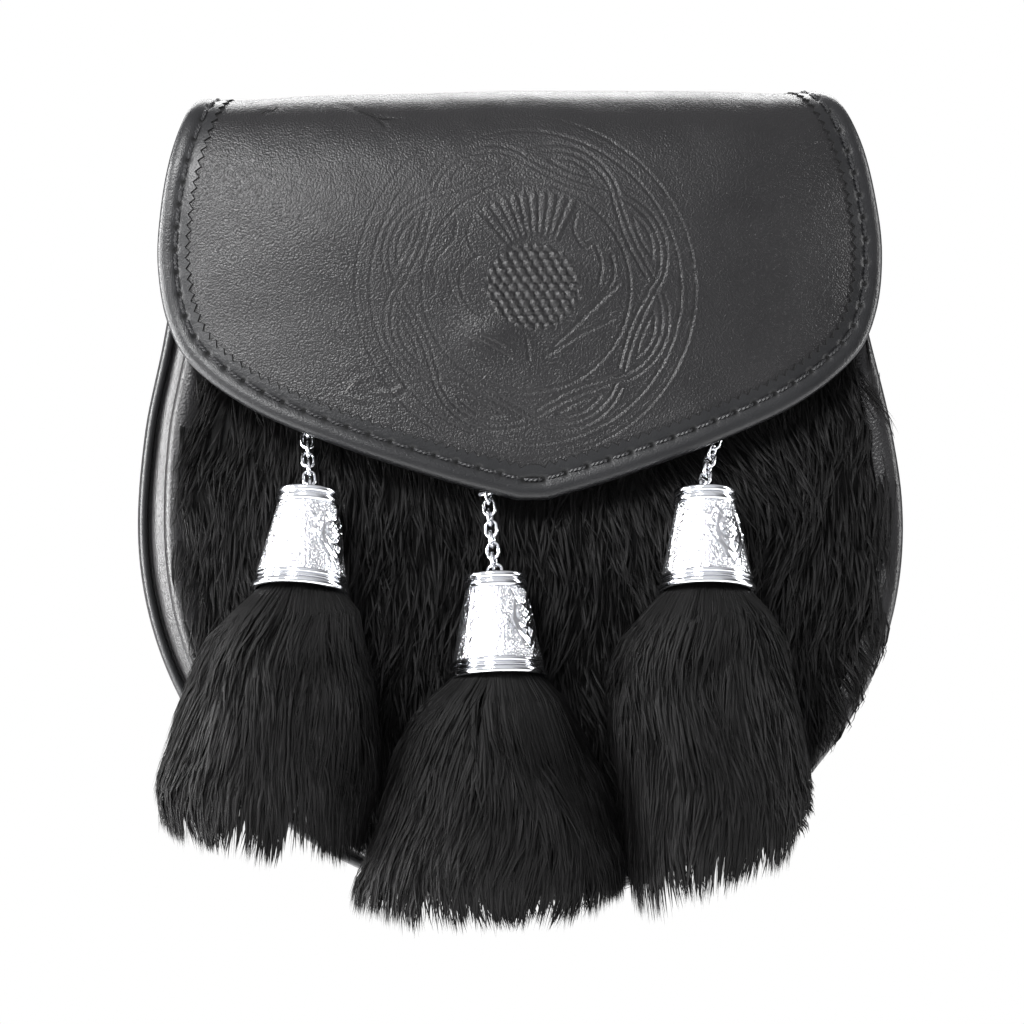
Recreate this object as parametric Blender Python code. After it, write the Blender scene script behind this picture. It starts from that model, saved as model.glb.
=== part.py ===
"""A semi-dress sporran: a leather pouch with a fur front, a domed flap and three fur tassels
in metal cones, worn hanging from a strap through two loops on its back.

Metres, +Z up, the front faces -Y. The origin is the middle of the strap, between the two belt loops.
Tables and section sizes are in millimetres: x to the right seen from the front, y from the back
panel's outer face with plus towards the wearer, and drop, the distance below the top of the fold.
"""

import math

import bmesh
import bpy
from mathutils import Matrix, Vector

MM = 0.001
GAP = 0.3  # between pieces that touch

# The belt line
FOLD_TOP = 0.050  # height of the fold's top above the strap's middle
BACK_FACE = -0.0033  # y of the back panel's outer face

# Pouch body
BACK_RADIUS = 94.3  # of the round bottom, which is also half the greatest width
FRONT_RADIUS = 91.5
FRONT_SHIFT = 2.0  # the front panel sits this far to the right of the back
WIDEST_DROP = 108.0
BACK_TOP_DROP = 12.5
GUSSET_TOP_DROP = 15.0
FRONT_TOP_DROP = 17.0
BACK_THICK = 2.5
BACK_EDGE = 0.6  # bevel
GUSSET_THICK = 1.6
FRONT_THICK = 2.0
PIPING_RADIUS = 1.1
PIPING_INSET = 1.3
DOME = 7.0  # how far the front panel's middle stands proud of its edge
DOME_REACH = 0.9  # share of the front's half sizes where the dome ends
DOME_HALF_HEIGHT = 91.0
SIDE_STEPS = 5
ARC_STEPS = 16
TOP_STEPS = 4

SIDE_TAPER = (
    # height above the widest level, share of the radius
    (0.0, 1.0),
    (25.0, 0.976),
    (47.5, 0.923),
    (70.0, 0.880),
    (87.5, 0.853),
    (100.0, 0.835),
)
DEPTH = (
    # drop, depth of the front panel's edge
    (8.0, 19.0),
    (40.0, 21.5),
    (70.0, 25.0),
    (100.0, 29.5),
    (130.0, 32.5),
    (160.0, 34.0),
    (210.0, 34.0),
)
GUSSET_FOLD = (
    # share of the way from back to front, inset from the pouch's outline
    (0.00, 3.8),
    (0.20, 3.8),
    (0.38, 7.0),
    (0.50, 9.4),
    (0.62, 7.0),
    (0.80, 3.4),
    (1.00, 3.4),
)
BORDER_SECTION = (
    # inset from the front's outline, y behind the front panel's outer face
    (6.4, -1.7),
    (3.2, -2.4),
    (0.9, -1.7),
    (0.0, 0.5),
    (0.4, 2.9),
    (1.8, 3.9),
    (6.0, 3.9),
    (6.0, 2.3),
    (1.6, 2.3),
    (1.6, -0.3),
    (6.4, -0.3),
)
BORDER_BACK = 3.9
PANEL_INSET = 1.9  # the front panel's edge inside the rolled border

# Fur front
FUR_INSET = 7.0  # of the hide's edge, beside the border
FUR_UNDER_FLAP = 3.0
FUR_FREE = 4.4
FUR_TOP = 3.0  # how far the hide's top edge lies below the front panel's
FUR_EDGE = 2.9  # thickness of the fur at the hide's edge
FUR_OVERHANG = 0.09  # share by which the fur hangs out over the lower border
FUR_SPREAD = 10.0  # distance below the flap's edge over which the fur fluffs up
TUFT_RISE = 1.3
TUFT_FALL = 3.5
FUR_RINGS = (0.94, 0.82, 0.70, 0.58, 0.46, 0.34, 0.20)
PANEL_RINGS = (0.12, 0.45, 0.75, 0.92, 1.0)

# Flap
FLAP_THICK = 2.0
FLAP_SIDE = 90.0  # half width that the side columns below are meant for
FLAP_CURL = 3.0  # power with which the side columns take over from the middle
FLAP_COLUMNS = (0.0, 0.45, 0.75, 0.9, 1.0)  # shares of the half width
BINDING_THICK = 1.0
BINDING_GAP = 0.6
BINDING_FRONT = 8.0
BINDING_BACK = 6.0
BINDING_ROUND = 1.2  # of the wrapped edge
BINDING_START = 2.4  # place in FLAP_ROWS, on the fold's back shoulder
FLAP_ROWS = (
    # middle y, middle drop, side y, side drop, half width
    (1.3, 21.0, 1.3, 21.5, 74.0),  # 0 hem on the back panel
    (1.3, 10.5, 1.3, 11.5, 74.8),  # 1 back
    (-2.2, 3.2, -2.0, 6.0, 76.2),  # 2 back shoulder of the fold
    (-12.0, 1.4, -9.5, 4.3, 78.4),  # 3 top of the fold
    (-22.5, 4.2, -17.0, 7.7, 82.2),  # 4 front shoulder
    (-31.0, 12.5, -21.5, 17.0, 86.0),  # 5 brow
    (-36.5, 26.0, -24.0, 29.0, 88.5),  # 6 upper front
    (-39.5, 42.0, -26.0, 42.5, 89.5),  # 7 widest
    (-41.2, 57.0, -28.0, 57.0, 87.4),  # 8 lower side
    (-42.6, 68.0, -30.0, 68.0, 81.3),  # 9 round corner
    (-44.2, 79.0, -31.0, 79.0, 66.5),  # 10 lower edge
    (-45.4, 88.5, -32.0, 88.5, 44.5),  # 11 lower edge
    (-46.0, 96.5, -33.0, 96.5, 21.0),  # 12 lower edge
    (-46.2, 101.4, -33.5, 101.4, 3.8),  # 13 tip
)
INSET_STEPS = 8  # in which a distance in from the edge is walked
FLAP_STEPS = 20  # rings from the fold's back shoulder to the tip

# Press stud, and loops for the strap
STUD_DROP = 62.0
STUD_CAP_RADIUS = 6.0
STUD_POST_RADIUS = 3.2
STUD_CAP_THICK = 1.2
STUD_SIDES = 12
LOOP_X = 38.0
LOOP_WIDTH = 14.0
LOOP_THICK = 2.0
LOOP_GAP_DEPTH = 6.0
LOOP_GAP_HALF = 17.0
LOOP_PAD = 9.0
LOOP_BEND = 1.2  # how far a bend goes in each of its two steps
LOOP_ROUND = 3.5  # distance along the loop over which it turns into its straight run
LOOP_MIDDLE_DROP = FOLD_TOP / MM

# Chains
WIRE = 0.9
LINK_LENGTH = 5.2
LINK_WIDTH = 3.75
LINK_SIDES = 10
LINK_CLEARANCE = 0.42
BAIL_RADIUS = 1.9
BAIL_RISE = 3.0  # height of the wire's middle above the cone
BAIL_STEPS = 6
BAIL_ROOT = 1.3  # how far its two ends go into the cone's top
BAIL_LEAN = 0.55  # towards the wearer, for each millimetre that it rises
CHAIN_OFF_FUR = 2.3
CURVE_STEPS = 40
HALVINGS = 40  # in the search for the staple's place
STAPLE_HALF = 2.2
TUFT_REACH = 5.0  # how far above a raised tuft its facets start to rise

# Tassels
CONE_HEIGHT = 25.6
CONE_TOP_RADIUS = 7.8
CONE_BASE_RADIUS = 12.1
CONE_OFF_FUR = 0.5
CONE_SIDES = 14
CONE_PROFILE = (
    # radius, distance below the cone's top, down the outside and up the inside
    (0.0, 0.0),
    (7.1, 0.0),
    (7.8, 0.8),
    (7.3, 1.7),
    (7.8, 2.6),
    (7.4, 3.6),
    (7.5, 4.4),
    (10.9, 21.3),
    (11.5, 22.0),
    (11.2, 22.9),
    (12.1, 24.6),
    (11.8, 25.6),
    (10.8, 25.6),
    (10.2, 20.6),
    (6.2, 2.2),
    (0.0, 2.2),
)
HEAD_RADIUS = 10.2  # at the cone's mouth
HEAD_TAPER = 0.5
HEAD_DEPTH = 4.5
HEAD_BELOW = 0.9
LOCKS = 10
LOCK_RIDGE = 1.03
LOCK_VALLEY = 0.93
LOCK_NOTCH = 0.25  # share of its fall by which the notch between two locks rises
LOCK_ENDS = (
    # share of the last row's size, how far a lock falls below that row
    (0.86, 8.0),
    (0.55, 1.5),
    (0.15, 3.0),
)
TASSEL_OFF_FUR = 0.6

TASSELS = {
    # links, roll of the last link, staple x, cone top x and drop, cone base x, emblem's turn
    "left": dict(links=6, roll=0, staple_x=-54.0, top_x=-54.9, top=98.1, base_x=-58.0, turn=48),
    "centre": dict(links=7, roll=65, staple_x=-10.6, top_x=-10.3, top=119.3, base_x=-10.3, turn=46),
    "right": dict(links=8, roll=-40, staple_x=49.5, top_x=42.0, top=99.8, base_x=41.2, turn=34),
}
TASSEL_ROWS = {
    # drop, left x, right x, depth front to back
    "left": (
        (127.5, -75.0, -43.8, 25.0),
        (133.0, -80.5, -43.5, 25.0),
        (143.0, -86.0, -40.5, 28.0),
        (156.0, -91.0, -39.5, 30.0),
        (170.0, -95.0, -40.0, 31.0),
        (182.0, -93.0, -43.5, 29.0),
    ),
    "centre": (
        (149.2, -28.0, 5.6, 25.0),
        (156.0, -33.0, 9.0, 27.0),
        (167.0, -37.6, 14.2, 30.0),
        (179.0, -40.6, 17.6, 32.0),
        (190.0, -45.0, 19.4, 32.0),
        (200.0, -46.5, 19.0, 29.0),
    ),
    "right": (
        (130.2, 24.5, 57.0, 25.0),
        (136.0, 19.5, 59.5, 26.0),
        (147.0, 15.5, 61.8, 29.0),
        (160.0, 17.0, 64.2, 31.0),
        (175.0, 19.6, 66.2, 31.0),
        (192.0, 20.6, 63.4, 29.0),
    ),
}
EMBLEM_RIBS = (
    # x round the cone and drop down it of each row, with the half width there
    ((0.0, 7.4, 1.2), (0.0, 10.9, 2.9), (0.0, 14.6, 0.9)),
    ((0.0, 5.0, 0.7), (0.0, 8.4, 0.9)),
    ((-2.6, 5.2, 0.7), (-0.9, 8.6, 0.8)),
    ((2.6, 5.2, 0.7), (0.9, 8.6, 0.8)),
    ((-3.6, 8.0, 0.4), (-4.6, 12.0, 1.4), (-3.0, 16.0, 1.4), (0.0, 20.2, 0.5)),
    ((3.6, 8.0, 0.4), (4.6, 12.0, 1.4), (3.0, 16.0, 1.4), (0.0, 20.2, 0.5)),
)
EMBLEM_SECTION = (
    # share of the half width, height above the cone's face
    (-1.0, -0.7),
    (-0.6, 0.7),
    (0.6, 0.7),
    (1.0, -0.7),
)


def clear_scene():
    for old in list(bpy.data.objects):
        bpy.data.objects.remove(old)


def material(name, colour, roughness, metallic=0.0):
    made = bpy.data.materials.new(name)
    made.use_nodes = True
    shader = made.node_tree.nodes["Principled BSDF"]
    shader.inputs["Base Color"].default_value = (*colour, 1.0)
    shader.inputs["Roughness"].default_value = roughness
    shader.inputs["Metallic"].default_value = metallic
    return made


def spot(x, y, drop):
    """A place in metres from a table's millimetres."""
    return Vector((x * MM, BACK_FACE + y * MM, FOLD_TOP - drop * MM))


def value_at(table, key):
    """The second column of a table where its first column is key, straight between rows."""
    for (k0, v0), (k1, v1) in zip(table, table[1:]):
        if key <= k1:
            share = max(0.0, (key - k0) / (k1 - k0))
            return v0 + (v1 - v0) * share
    return table[-1][1]


def row_at(rows, place):
    """The row at a place in a table, on a smooth curve through its rows."""
    last = len(rows) - 1
    i = max(0, min(int(place), last - 1))
    f = place - i
    start, end = rows[i], rows[i + 1]
    before = rows[i - 1] if i > 0 else [2 * a - b for a, b in zip(start, end)]
    after = rows[i + 2] if i + 2 <= last else [2 * b - a for a, b in zip(start, end)]
    return [
        0.5 * (2 * b + (c - a) * f + (2 * a - 5 * b + 4 * c - d) * f**2 + (3 * b - a - 3 * c + d) * f**3)
        for a, b, c, d in zip(before, start, end, after)
    ]


def ease(share):
    """0 below 0 and 1 above 1, with a smooth step between."""
    share = max(0.0, min(1.0, share))
    return share * share * (3 - 2 * share)


def add(name, data, finish):
    """The object of a mesh or curve, with its own copy of a material."""
    ob = bpy.data.objects.new(name, data)
    bpy.context.scene.collection.objects.link(ob)
    own = finish.copy()
    own.name = name
    data.materials.append(own)
    return ob


def mesh_of(name, bm):
    bmesh.ops.recalc_face_normals(bm, faces=bm.faces)
    mesh = bpy.data.meshes.new(name)
    bm.to_mesh(mesh)
    bm.free()
    mesh.shade_smooth()
    mesh.set_sharp_from_angle(angle=math.radians(40))
    return mesh


def skin(name, rings, split=False):
    """A closed mesh through rings of equally many points, capped at both ends. Split turns its
    quads into triangles, all along the same diagonal, so that two such faces lie on each other."""
    bm = bmesh.new()
    loops = [[bm.verts.new(p) for p in ring] for ring in rings]
    count = len(loops[0])
    for near, far in zip(loops, loops[1:]):
        for i in range(count):
            j = (i + 1) % count
            if split:
                bm.faces.new((near[i], near[j], far[j]))
                bm.faces.new((near[i], far[j], far[i]))
            else:
                bm.faces.new((near[i], near[j], far[j], far[i]))
    bm.faces.new(loops[0])
    bm.faces.new(loops[-1])
    return mesh_of(name, bm)


def sheet(name, rows, thickness, finish):
    """Leather through rows of equally many points, which run in the middle of its thickness."""
    bm = bmesh.new()
    grid = [[bm.verts.new(p) for p in row] for row in rows]
    for upper, lower in zip(grid, grid[1:]):
        for i in range(len(upper) - 1):
            bm.faces.new((upper[i], lower[i], lower[i + 1], upper[i + 1]))
    ob = add(name, mesh_of(name, bm), finish)
    thick = ob.modifiers.new("Thickness", "SOLIDIFY")
    thick.thickness = thickness * MM
    thick.offset = 0.0
    thick.use_even_offset = True
    return ob


def wire(name, points, radius, closed, finish, resolution=1):
    """A round wire or cord through points."""
    curve = bpy.data.curves.new(name, "CURVE")
    curve.dimensions = "3D"
    curve.bevel_depth = radius * MM
    curve.bevel_resolution = resolution
    curve.use_fill_caps = not closed
    line = curve.splines.new("POLY")
    line.points.add(len(points) - 1)
    for point, place in zip(line.points, points):
        point.co = (*place, 1.0)
    line.use_cyclic_u = closed
    line.use_smooth = True
    return add(name, curve, finish)


# The pouch's outline


def half_width(radius, height):
    """Half the pouch's width at a height above its widest level, or below it on the round bottom."""
    if height < 0:
        return math.sqrt(max(0.0, radius**2 - height**2))
    return radius * value_at(SIDE_TAPER, height)


def outline(radius, inset, shift, top_drop):
    """Points (x, drop) down the left side, round the bottom and up the right side."""
    tall = WIDEST_DROP - top_drop
    side = []
    for i in range(SIDE_STEPS):
        height = tall * (1 - i / SIDE_STEPS)
        side.append((half_width(radius, height) - inset, WIDEST_DROP - height))
    bottom = []
    for i in range(ARC_STEPS + 1):
        turn = math.pi * i / ARC_STEPS
        reach = radius - inset
        bottom.append((-reach * math.cos(turn), WIDEST_DROP + reach * math.sin(turn)))
    points = [(-x, drop) for x, drop in side] + bottom + side[::-1]
    return [(shift + x, drop) for x, drop in points]


def loop(radius, inset, shift, top_drop):
    """The outline closed by points along its straight top edge."""
    points = outline(radius, inset, shift, top_drop)
    right, left = points[-1][0], points[0][0]
    for i in range(1, TOP_STEPS):
        points.append((right + (left - right) * i / TOP_STEPS, top_drop))
    return points


def scaled(points, share):
    """The loop drawn in towards the middle of the front."""
    return [
        (FRONT_SHIFT + (x - FRONT_SHIFT) * share, WIDEST_DROP + (drop - WIDEST_DROP) * share)
        for x, drop in points
    ]


def front_y(x, drop):
    """The front panel's outer face: deeper towards the bottom, and domed in the middle."""
    across = ((x - FRONT_SHIFT) / FRONT_RADIUS) ** 2
    down = ((drop - WIDEST_DROP) / DOME_HALF_HEIGHT) ** 2
    dome = DOME * max(0.0, 1 - (across + down) / DOME_REACH**2)
    return -value_at(DEPTH, drop) - dome


def flap_edge_drop(x):
    """Where the flap's lower edge crosses a column x."""
    edge = [(row[4], row[1]) for row in FLAP_ROWS[:7:-1]]
    return value_at(edge, abs(x))


def below_flap(x, drop):
    """0 under the flap, rising to 1 where the fur lies free below it."""
    return ease((drop - flap_edge_drop(x)) / FUR_SPREAD)


def fur_lift(x, drop):
    """How thick the fur lies on the front panel."""
    return GAP + FUR_UNDER_FLAP + (FUR_FREE - FUR_UNDER_FLAP) * below_flap(x, drop)


def fur_top(x, drop):
    """The y of the fur's highest tufts."""
    return front_y(x, drop) - fur_lift(x, drop) - TUFT_RISE * below_flap(x, drop)


# Pouch pieces


def back_panel(finish):
    points = loop(BACK_RADIUS, 0.0, 0.0, BACK_TOP_DROP)
    bm = bmesh.new()
    bm.faces.new([bm.verts.new(spot(x, -BACK_THICK / 2, drop)) for x, drop in points])
    ob = add("back_panel", mesh_of("back_panel", bm), finish)
    thick = ob.modifiers.new("Thickness", "SOLIDIFY")
    thick.thickness = BACK_THICK * MM
    thick.offset = 0.0
    bevel = ob.modifiers.new("Edge", "BEVEL")
    bevel.width = BACK_EDGE * MM
    bevel.segments = 1
    bevel.limit_method = "ANGLE"


def back_piping(finish):
    y = -BACK_THICK - GAP - PIPING_RADIUS
    points = outline(BACK_RADIUS, PIPING_INSET, 0.0, GUSSET_TOP_DROP)
    wire("back_piping", [spot(x, y, drop) for x, drop in points], PIPING_RADIUS, False, finish)


def gusset(finish):
    """A strip pleated inwards, from the back panel's face to the rolled border's back."""
    columns = []
    for share, inset in GUSSET_FOLD:
        behind = outline(BACK_RADIUS, inset, 0.0, GUSSET_TOP_DROP)
        before = outline(FRONT_RADIUS, inset, FRONT_SHIFT, GUSSET_TOP_DROP)
        column = []
        for (xb, db), (xf, df) in zip(behind, before):
            drop = db + (df - db) * share
            start = -BACK_THICK - 2 * GAP
            end = -value_at(DEPTH, drop) + BORDER_BACK + 2 * GAP
            column.append(spot(xb + (xf - xb) * share, start + (end - start) * share, drop))
        columns.append(column)
    sheet("gusset", list(zip(*columns)), GUSSET_THICK, finish)


def front_panel(finish):
    edge = loop(FRONT_RADIUS, PANEL_INSET, FRONT_SHIFT, FRONT_TOP_DROP)
    rings = []
    for share in PANEL_RINGS:
        rings.append([spot(x, front_y(x, d) + FRONT_THICK, d) for x, d in scaled(edge, share)])
    for share in PANEL_RINGS[::-1]:
        rings.append([spot(x, front_y(x, d), d) for x, d in scaled(edge, share)])
    add("front_panel", skin("front_panel", rings, True), finish)


def front_border(finish):
    columns = []
    for inset, back in BORDER_SECTION:
        points = outline(FRONT_RADIUS, inset, FRONT_SHIFT, FRONT_TOP_DROP)
        columns.append([spot(x, back - value_at(DEPTH, drop), drop) for x, drop in points])
    add("front_border", skin("front_border", list(zip(*columns))), finish)


def fur_front(finish):
    """Hide on the front panel. Every other point of its face is a tuft's tip, raised and pulled down."""
    edge = loop(FRONT_RADIUS, FUR_INSET, FRONT_SHIFT, FRONT_TOP_DROP + FUR_TOP)
    panel = loop(FRONT_RADIUS, PANEL_INSET, FRONT_SHIFT, FRONT_TOP_DROP)
    behind = [scaled(panel, share) for share in PANEL_RINGS[:-1]] + [edge]
    rings = [[spot(x, front_y(x, d) - GAP, d) for x, d in ring] for ring in behind]
    rings.append([spot(x, front_y(x, d) - FUR_EDGE, d) for x, d in edge])
    over = []
    for x, drop in edge:
        low = ease((drop - WIDEST_DROP) / (FRONT_RADIUS / 2))
        over += scaled([(x, drop)], 1 + FUR_OVERHANG * low)
    rings.append([spot(x, front_y(x, d) - FUR_EDGE, d) for x, d in over])
    for number, share in enumerate(FUR_RINGS):
        ring = []
        for i, (x, drop) in enumerate(scaled(over, share)):
            tip = (i + number) % 2 * share * below_flap(x, drop)
            fallen = drop + TUFT_FALL * tip
            ring.append(spot(x, front_y(x, fallen) - fur_lift(x, fallen) - TUFT_RISE * tip, fallen))
        rings.append(ring)
    add("fur_front", skin("fur_front", rings[::-1], True), finish)


# Flap


def flap_point(x, place):
    """A point in the middle of the flap's leather, x across and place down FLAP_ROWS."""
    middle_y, middle_drop, side_y, side_drop, _ = row_at(FLAP_ROWS, place)
    side = (abs(x) / FLAP_SIDE) ** FLAP_CURL
    y = middle_y + (side_y - middle_y) * side
    return spot(x, y, middle_drop + (side_drop - middle_drop) * side)


def flap_slopes(x, place):
    """How the flap's point moves for a step across and a step down, and the way out of its face."""
    across = (flap_point(x + 0.1, place) - flap_point(x - 0.1, place)) / 0.2
    down = (flap_point(x, place + 0.01) - flap_point(x, place - 0.01)) / 0.02
    return across, down, down.cross(across).normalized()


def flap_inside(place, inset):
    """(x, place) of the point that lies inset in from the flap's right edge, square to it."""
    x = row_at(FLAP_ROWS, place)[4]
    after = flap_point(row_at(FLAP_ROWS, place + 0.01)[4], place + 0.01)
    before = flap_point(row_at(FLAP_ROWS, place - 0.01)[4], place - 0.01)
    across, down, out = flap_slopes(x, place)
    inward = out.cross(after - before).normalized()
    if inward.x > 0:
        inward = -inward
    step = inward * inset * MM / INSET_STEPS
    for _ in range(INSET_STEPS):
        across, down, _ = flap_slopes(x, place)
        aa, ad, dd = across.dot(across), across.dot(down), down.dot(down)
        sa, sd = step.dot(across), step.dot(down)
        size = aa * dd - ad * ad
        x += (sa * dd - sd * ad) / size
        place += (sd * aa - sa * ad) / size
    return x, place


def flap_places():
    """Places down the rows, from the fold's back shoulder to the tip."""
    last = len(FLAP_ROWS) - 1
    return [BINDING_START + (last - BINDING_START) * i / FLAP_STEPS for i in range(FLAP_STEPS + 1)]


def flap(finish):
    edge = BINDING_THICK + BINDING_GAP
    rows = []
    for place in [0.0, 0.5, 1.0, 1.5, 2.0] + flap_places():
        x, inner = flap_inside(place, edge)
        shares = [-share for share in FLAP_COLUMNS[:0:-1]] + list(FLAP_COLUMNS)
        rows.append([flap_point(x * share, inner) for share in shares])
    sheet("flap", rows, FLAP_THICK, finish)


def binding_section():
    """(inset, height above the leather's middle) round the wrapped strip."""
    inner = FLAP_THICK / 2 + BINDING_GAP
    outer = inner + BINDING_THICK
    return (
        (BINDING_FRONT, inner),
        (BINDING_FRONT, outer),
        (BINDING_ROUND, outer),
        (0.2, outer - BINDING_ROUND / 2),
        (0.0, 0.0),
        (0.2, BINDING_ROUND / 2 - outer),
        (BINDING_ROUND, -outer),
        (BINDING_BACK, -outer),
        (BINDING_BACK, -inner),
        (BINDING_THICK, -inner),
        (BINDING_THICK, inner),
    )


def flap_binding(finish):
    section = binding_section()
    half = []
    for place in flap_places():
        ring = []
        for inset, height in section:
            x, inner = flap_inside(place, inset)
            out = flap_slopes(x, inner)[2]
            ring.append(flap_point(x, inner) + out * height * MM)
        half.append(ring)
    mirrored = [[Vector((-p.x, p.y, p.z)) for p in ring] for ring in half]
    add("flap_binding", skin("flap_binding", mirrored + half[::-1]), finish)


def flap_stud(finish):
    """A turned press stud between the fur and the flap."""
    low, high = STUD_DROP + STUD_CAP_RADIUS, STUD_DROP - STUD_CAP_RADIUS
    seat = front_y(0.0, low) - fur_lift(0.0, low) - GAP
    place = next(t / 20 for t in range(100, 260) if row_at(FLAP_ROWS, t / 20)[1] >= high)
    top = row_at(FLAP_ROWS, place)[0] + FLAP_THICK / 2 + GAP
    profile = (
        (0.0, seat),
        (STUD_CAP_RADIUS, seat),
        (STUD_CAP_RADIUS, seat - STUD_CAP_THICK),
        (STUD_POST_RADIUS, seat - STUD_CAP_THICK),
        (STUD_POST_RADIUS, top + STUD_CAP_THICK),
        (STUD_CAP_RADIUS, top + STUD_CAP_THICK),
        (STUD_CAP_RADIUS, top),
        (0.0, top),
    )
    rings = []
    for radius, y in profile[1:-1]:
        ring = []
        for i in range(STUD_SIDES):
            turn = math.tau * i / STUD_SIDES
            ring.append(spot(radius * math.cos(turn), y, STUD_DROP + radius * math.sin(turn)))
        rings.append(ring)
    add("flap_stud", skin("flap_stud", rings), finish)


def belt_loop(name, x, finish):
    """A strap of leather sewn down at its top and bottom and standing off between."""
    flat = GAP + LOOP_THICK / 2
    proud = LOOP_GAP_DEPTH + GAP + LOOP_THICK / 2
    path = (
        (flat, LOOP_GAP_HALF + LOOP_PAD),
        (flat, LOOP_GAP_HALF + LOOP_BEND),
        (flat + LOOP_BEND, LOOP_GAP_HALF),
        (proud - LOOP_BEND, LOOP_GAP_HALF - LOOP_ROUND / 3),
        (proud, LOOP_GAP_HALF - LOOP_ROUND),
    )
    path = path + tuple((y, -height) for y, height in path[::-1])
    rows = []
    for y, height in path:
        sides = (x - LOOP_WIDTH / 2, x + LOOP_WIDTH / 2)
        rows.append([spot(side, y, LOOP_MIDDLE_DROP - height) for side in sides])
    sheet(name, rows, LOOP_THICK, finish)


# Chains and tassels


def cone_axis(tassel):
    """The middle of the cone's top, and the way down its axis, leaning on the fur."""
    start_y = fur_top(tassel["top_x"], tassel["top"] + 2.0) - CONE_OFF_FUR - CONE_TOP_RADIUS
    low = tassel["top"] + CONE_HEIGHT
    end_y = fur_top(tassel["base_x"], low) - CONE_OFF_FUR - CONE_BASE_RADIUS
    start = spot(tassel["top_x"], start_y, tassel["top"])
    end = spot(tassel["base_x"], end_y, low)
    return start, (end - start).normalized()


def bail_lean(down):
    """The way that a bail stands up from its cone, leaning back towards the fur."""
    return (Vector((0, BAIL_LEAN, 0)) - down).normalized()


def chain_curve(tassel, staple_drop):
    """Points from the staple, down along the fur and out to the cone's bail."""
    top, down = cone_axis(tassel)
    end = top + bail_lean(down) * BAIL_RISE * MM
    x = tassel["staple_x"]
    start = spot(x, fur_top(x, staple_drop) - CHAIN_OFF_FUR, staple_drop)
    edge = flap_edge_drop(x) + 1.0
    bend = spot((x + tassel["top_x"]) / 2, fur_top(x, edge) - CHAIN_OFF_FUR + GAP, edge)
    points = []
    for i in range(CURVE_STEPS + 1):
        f = i / CURVE_STEPS
        points.append(start * (1 - f) ** 2 + bend * 2 * f * (1 - f) + end * f * f)
    return points


def length_of(points):
    return sum((b - a).length for a, b in zip(points, points[1:]))


def point_along(points, distance):
    """The point and direction at a distance along a line of points."""
    for a, b in zip(points, points[1:]):
        step = (b - a).length
        if distance <= step:
            return a + (b - a) * (distance / step), (b - a).normalized()
        distance -= step
    return points[-1], (points[-1] - points[-2]).normalized()


def hook():
    """From a link's middle to the middle of the wire that it holds."""
    return LINK_LENGTH / 2 - WIRE * 1.5 - LINK_CLEARANCE


def chain_route(tassel):
    """The curve whose length the taut links fill: the staple is moved up or down until it does."""
    pitch = LINK_LENGTH / 2 - WIRE / 2 + hook()
    wanted = (2 * hook() + (tassel["links"] - 1) * pitch) * MM
    high, low = STUD_DROP, tassel["top"]
    for _ in range(HALVINGS):
        middle = (high + low) / 2
        if length_of(chain_curve(tassel, middle)) > wanted:
            high = middle
        else:
            low = middle
    return chain_curve(tassel, high), pitch * MM


def wire_direction(roll, axis):
    """The direction square to a link's plane, turned by roll round the chain from the wearer's side."""
    back = Vector((0, 1, 0))
    back = (back - axis * axis.y).normalized()
    turn = math.radians(roll)
    return back * math.cos(turn) + back.cross(axis) * math.sin(turn)


def chain(side, tassel, finish):
    """Links that interlock, each turned a quarter from the last, from the staple to the bail."""
    route, pitch = chain_route(tassel)
    for number in range(tassel["links"]):
        centre, axis = point_along(route, hook() * MM + number * pitch)
        roll = tassel["roll"] + 90 * (tassel["links"] - 1 - number)
        out = wire_direction(roll, axis)
        wide = out.cross(axis).normalized()
        points = []
        for i in range(LINK_SIDES):
            turn = math.tau * i / LINK_SIDES
            reach = wide * ((LINK_WIDTH - WIRE) / 2 * MM * math.cos(turn))
            points.append(centre + reach + axis * ((LINK_LENGTH - WIRE) / 2 * MM * math.sin(turn)))
        wire(f"chain_link_{side}_{number + 1}", points, WIRE / 2, True, finish)


def chain_staple(side, tassel, finish):
    """A wire bridge through the first link, with its two legs on the hide."""
    route, _ = chain_route(tassel)
    first = tassel["roll"] + 90 * (tassel["links"] - 1)
    across = wire_direction(first, (route[1] - route[0]).normalized()) * STAPLE_HALF * MM
    bridge = [route[0] - across, route[0] + across]
    feet = []
    for corner in bridge:
        x = corner.x / MM
        drop = (FOLD_TOP - corner.z) / MM
        feet.append(spot(x, fur_top(x, drop + TUFT_REACH) - GAP, drop))
    points = [feet[0], bridge[0], bridge[1], feet[1]]
    wire(f"chain_staple_{side}", points, WIRE / 2, False, finish)


def emblem():
    """Raised thistle: a bulb, three rays of its crown and two long leaves that meet below it."""
    bm = bmesh.new()
    for rib in EMBLEM_RIBS:
        rings = []
        for x, drop, half in rib:
            radius = cone_radius(drop)
            ring = []
            for side, lift in EMBLEM_SECTION:
                angle = (x + half * side) / radius
                reach = (radius + lift) * MM
                ring.append(Vector((reach * math.sin(angle), -reach * math.cos(angle), -drop * MM)))
            rings.append([bm.verts.new(p) for p in ring])
        for near, far in zip(rings, rings[1:]):
            for i in range(len(near)):
                j = (i + 1) % len(near)
                bm.faces.new((near[i], near[j], far[j], far[i]))
        bm.faces.new(rings[0])
        bm.faces.new(rings[-1])
    return mesh_of("emblem", bm)


def cone_radius(drop):
    """The cone's outer radius at a distance below its top."""
    outside = [(d, r) for r, d in CONE_PROFILE[6:8]]
    return value_at(outside, drop)


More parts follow.
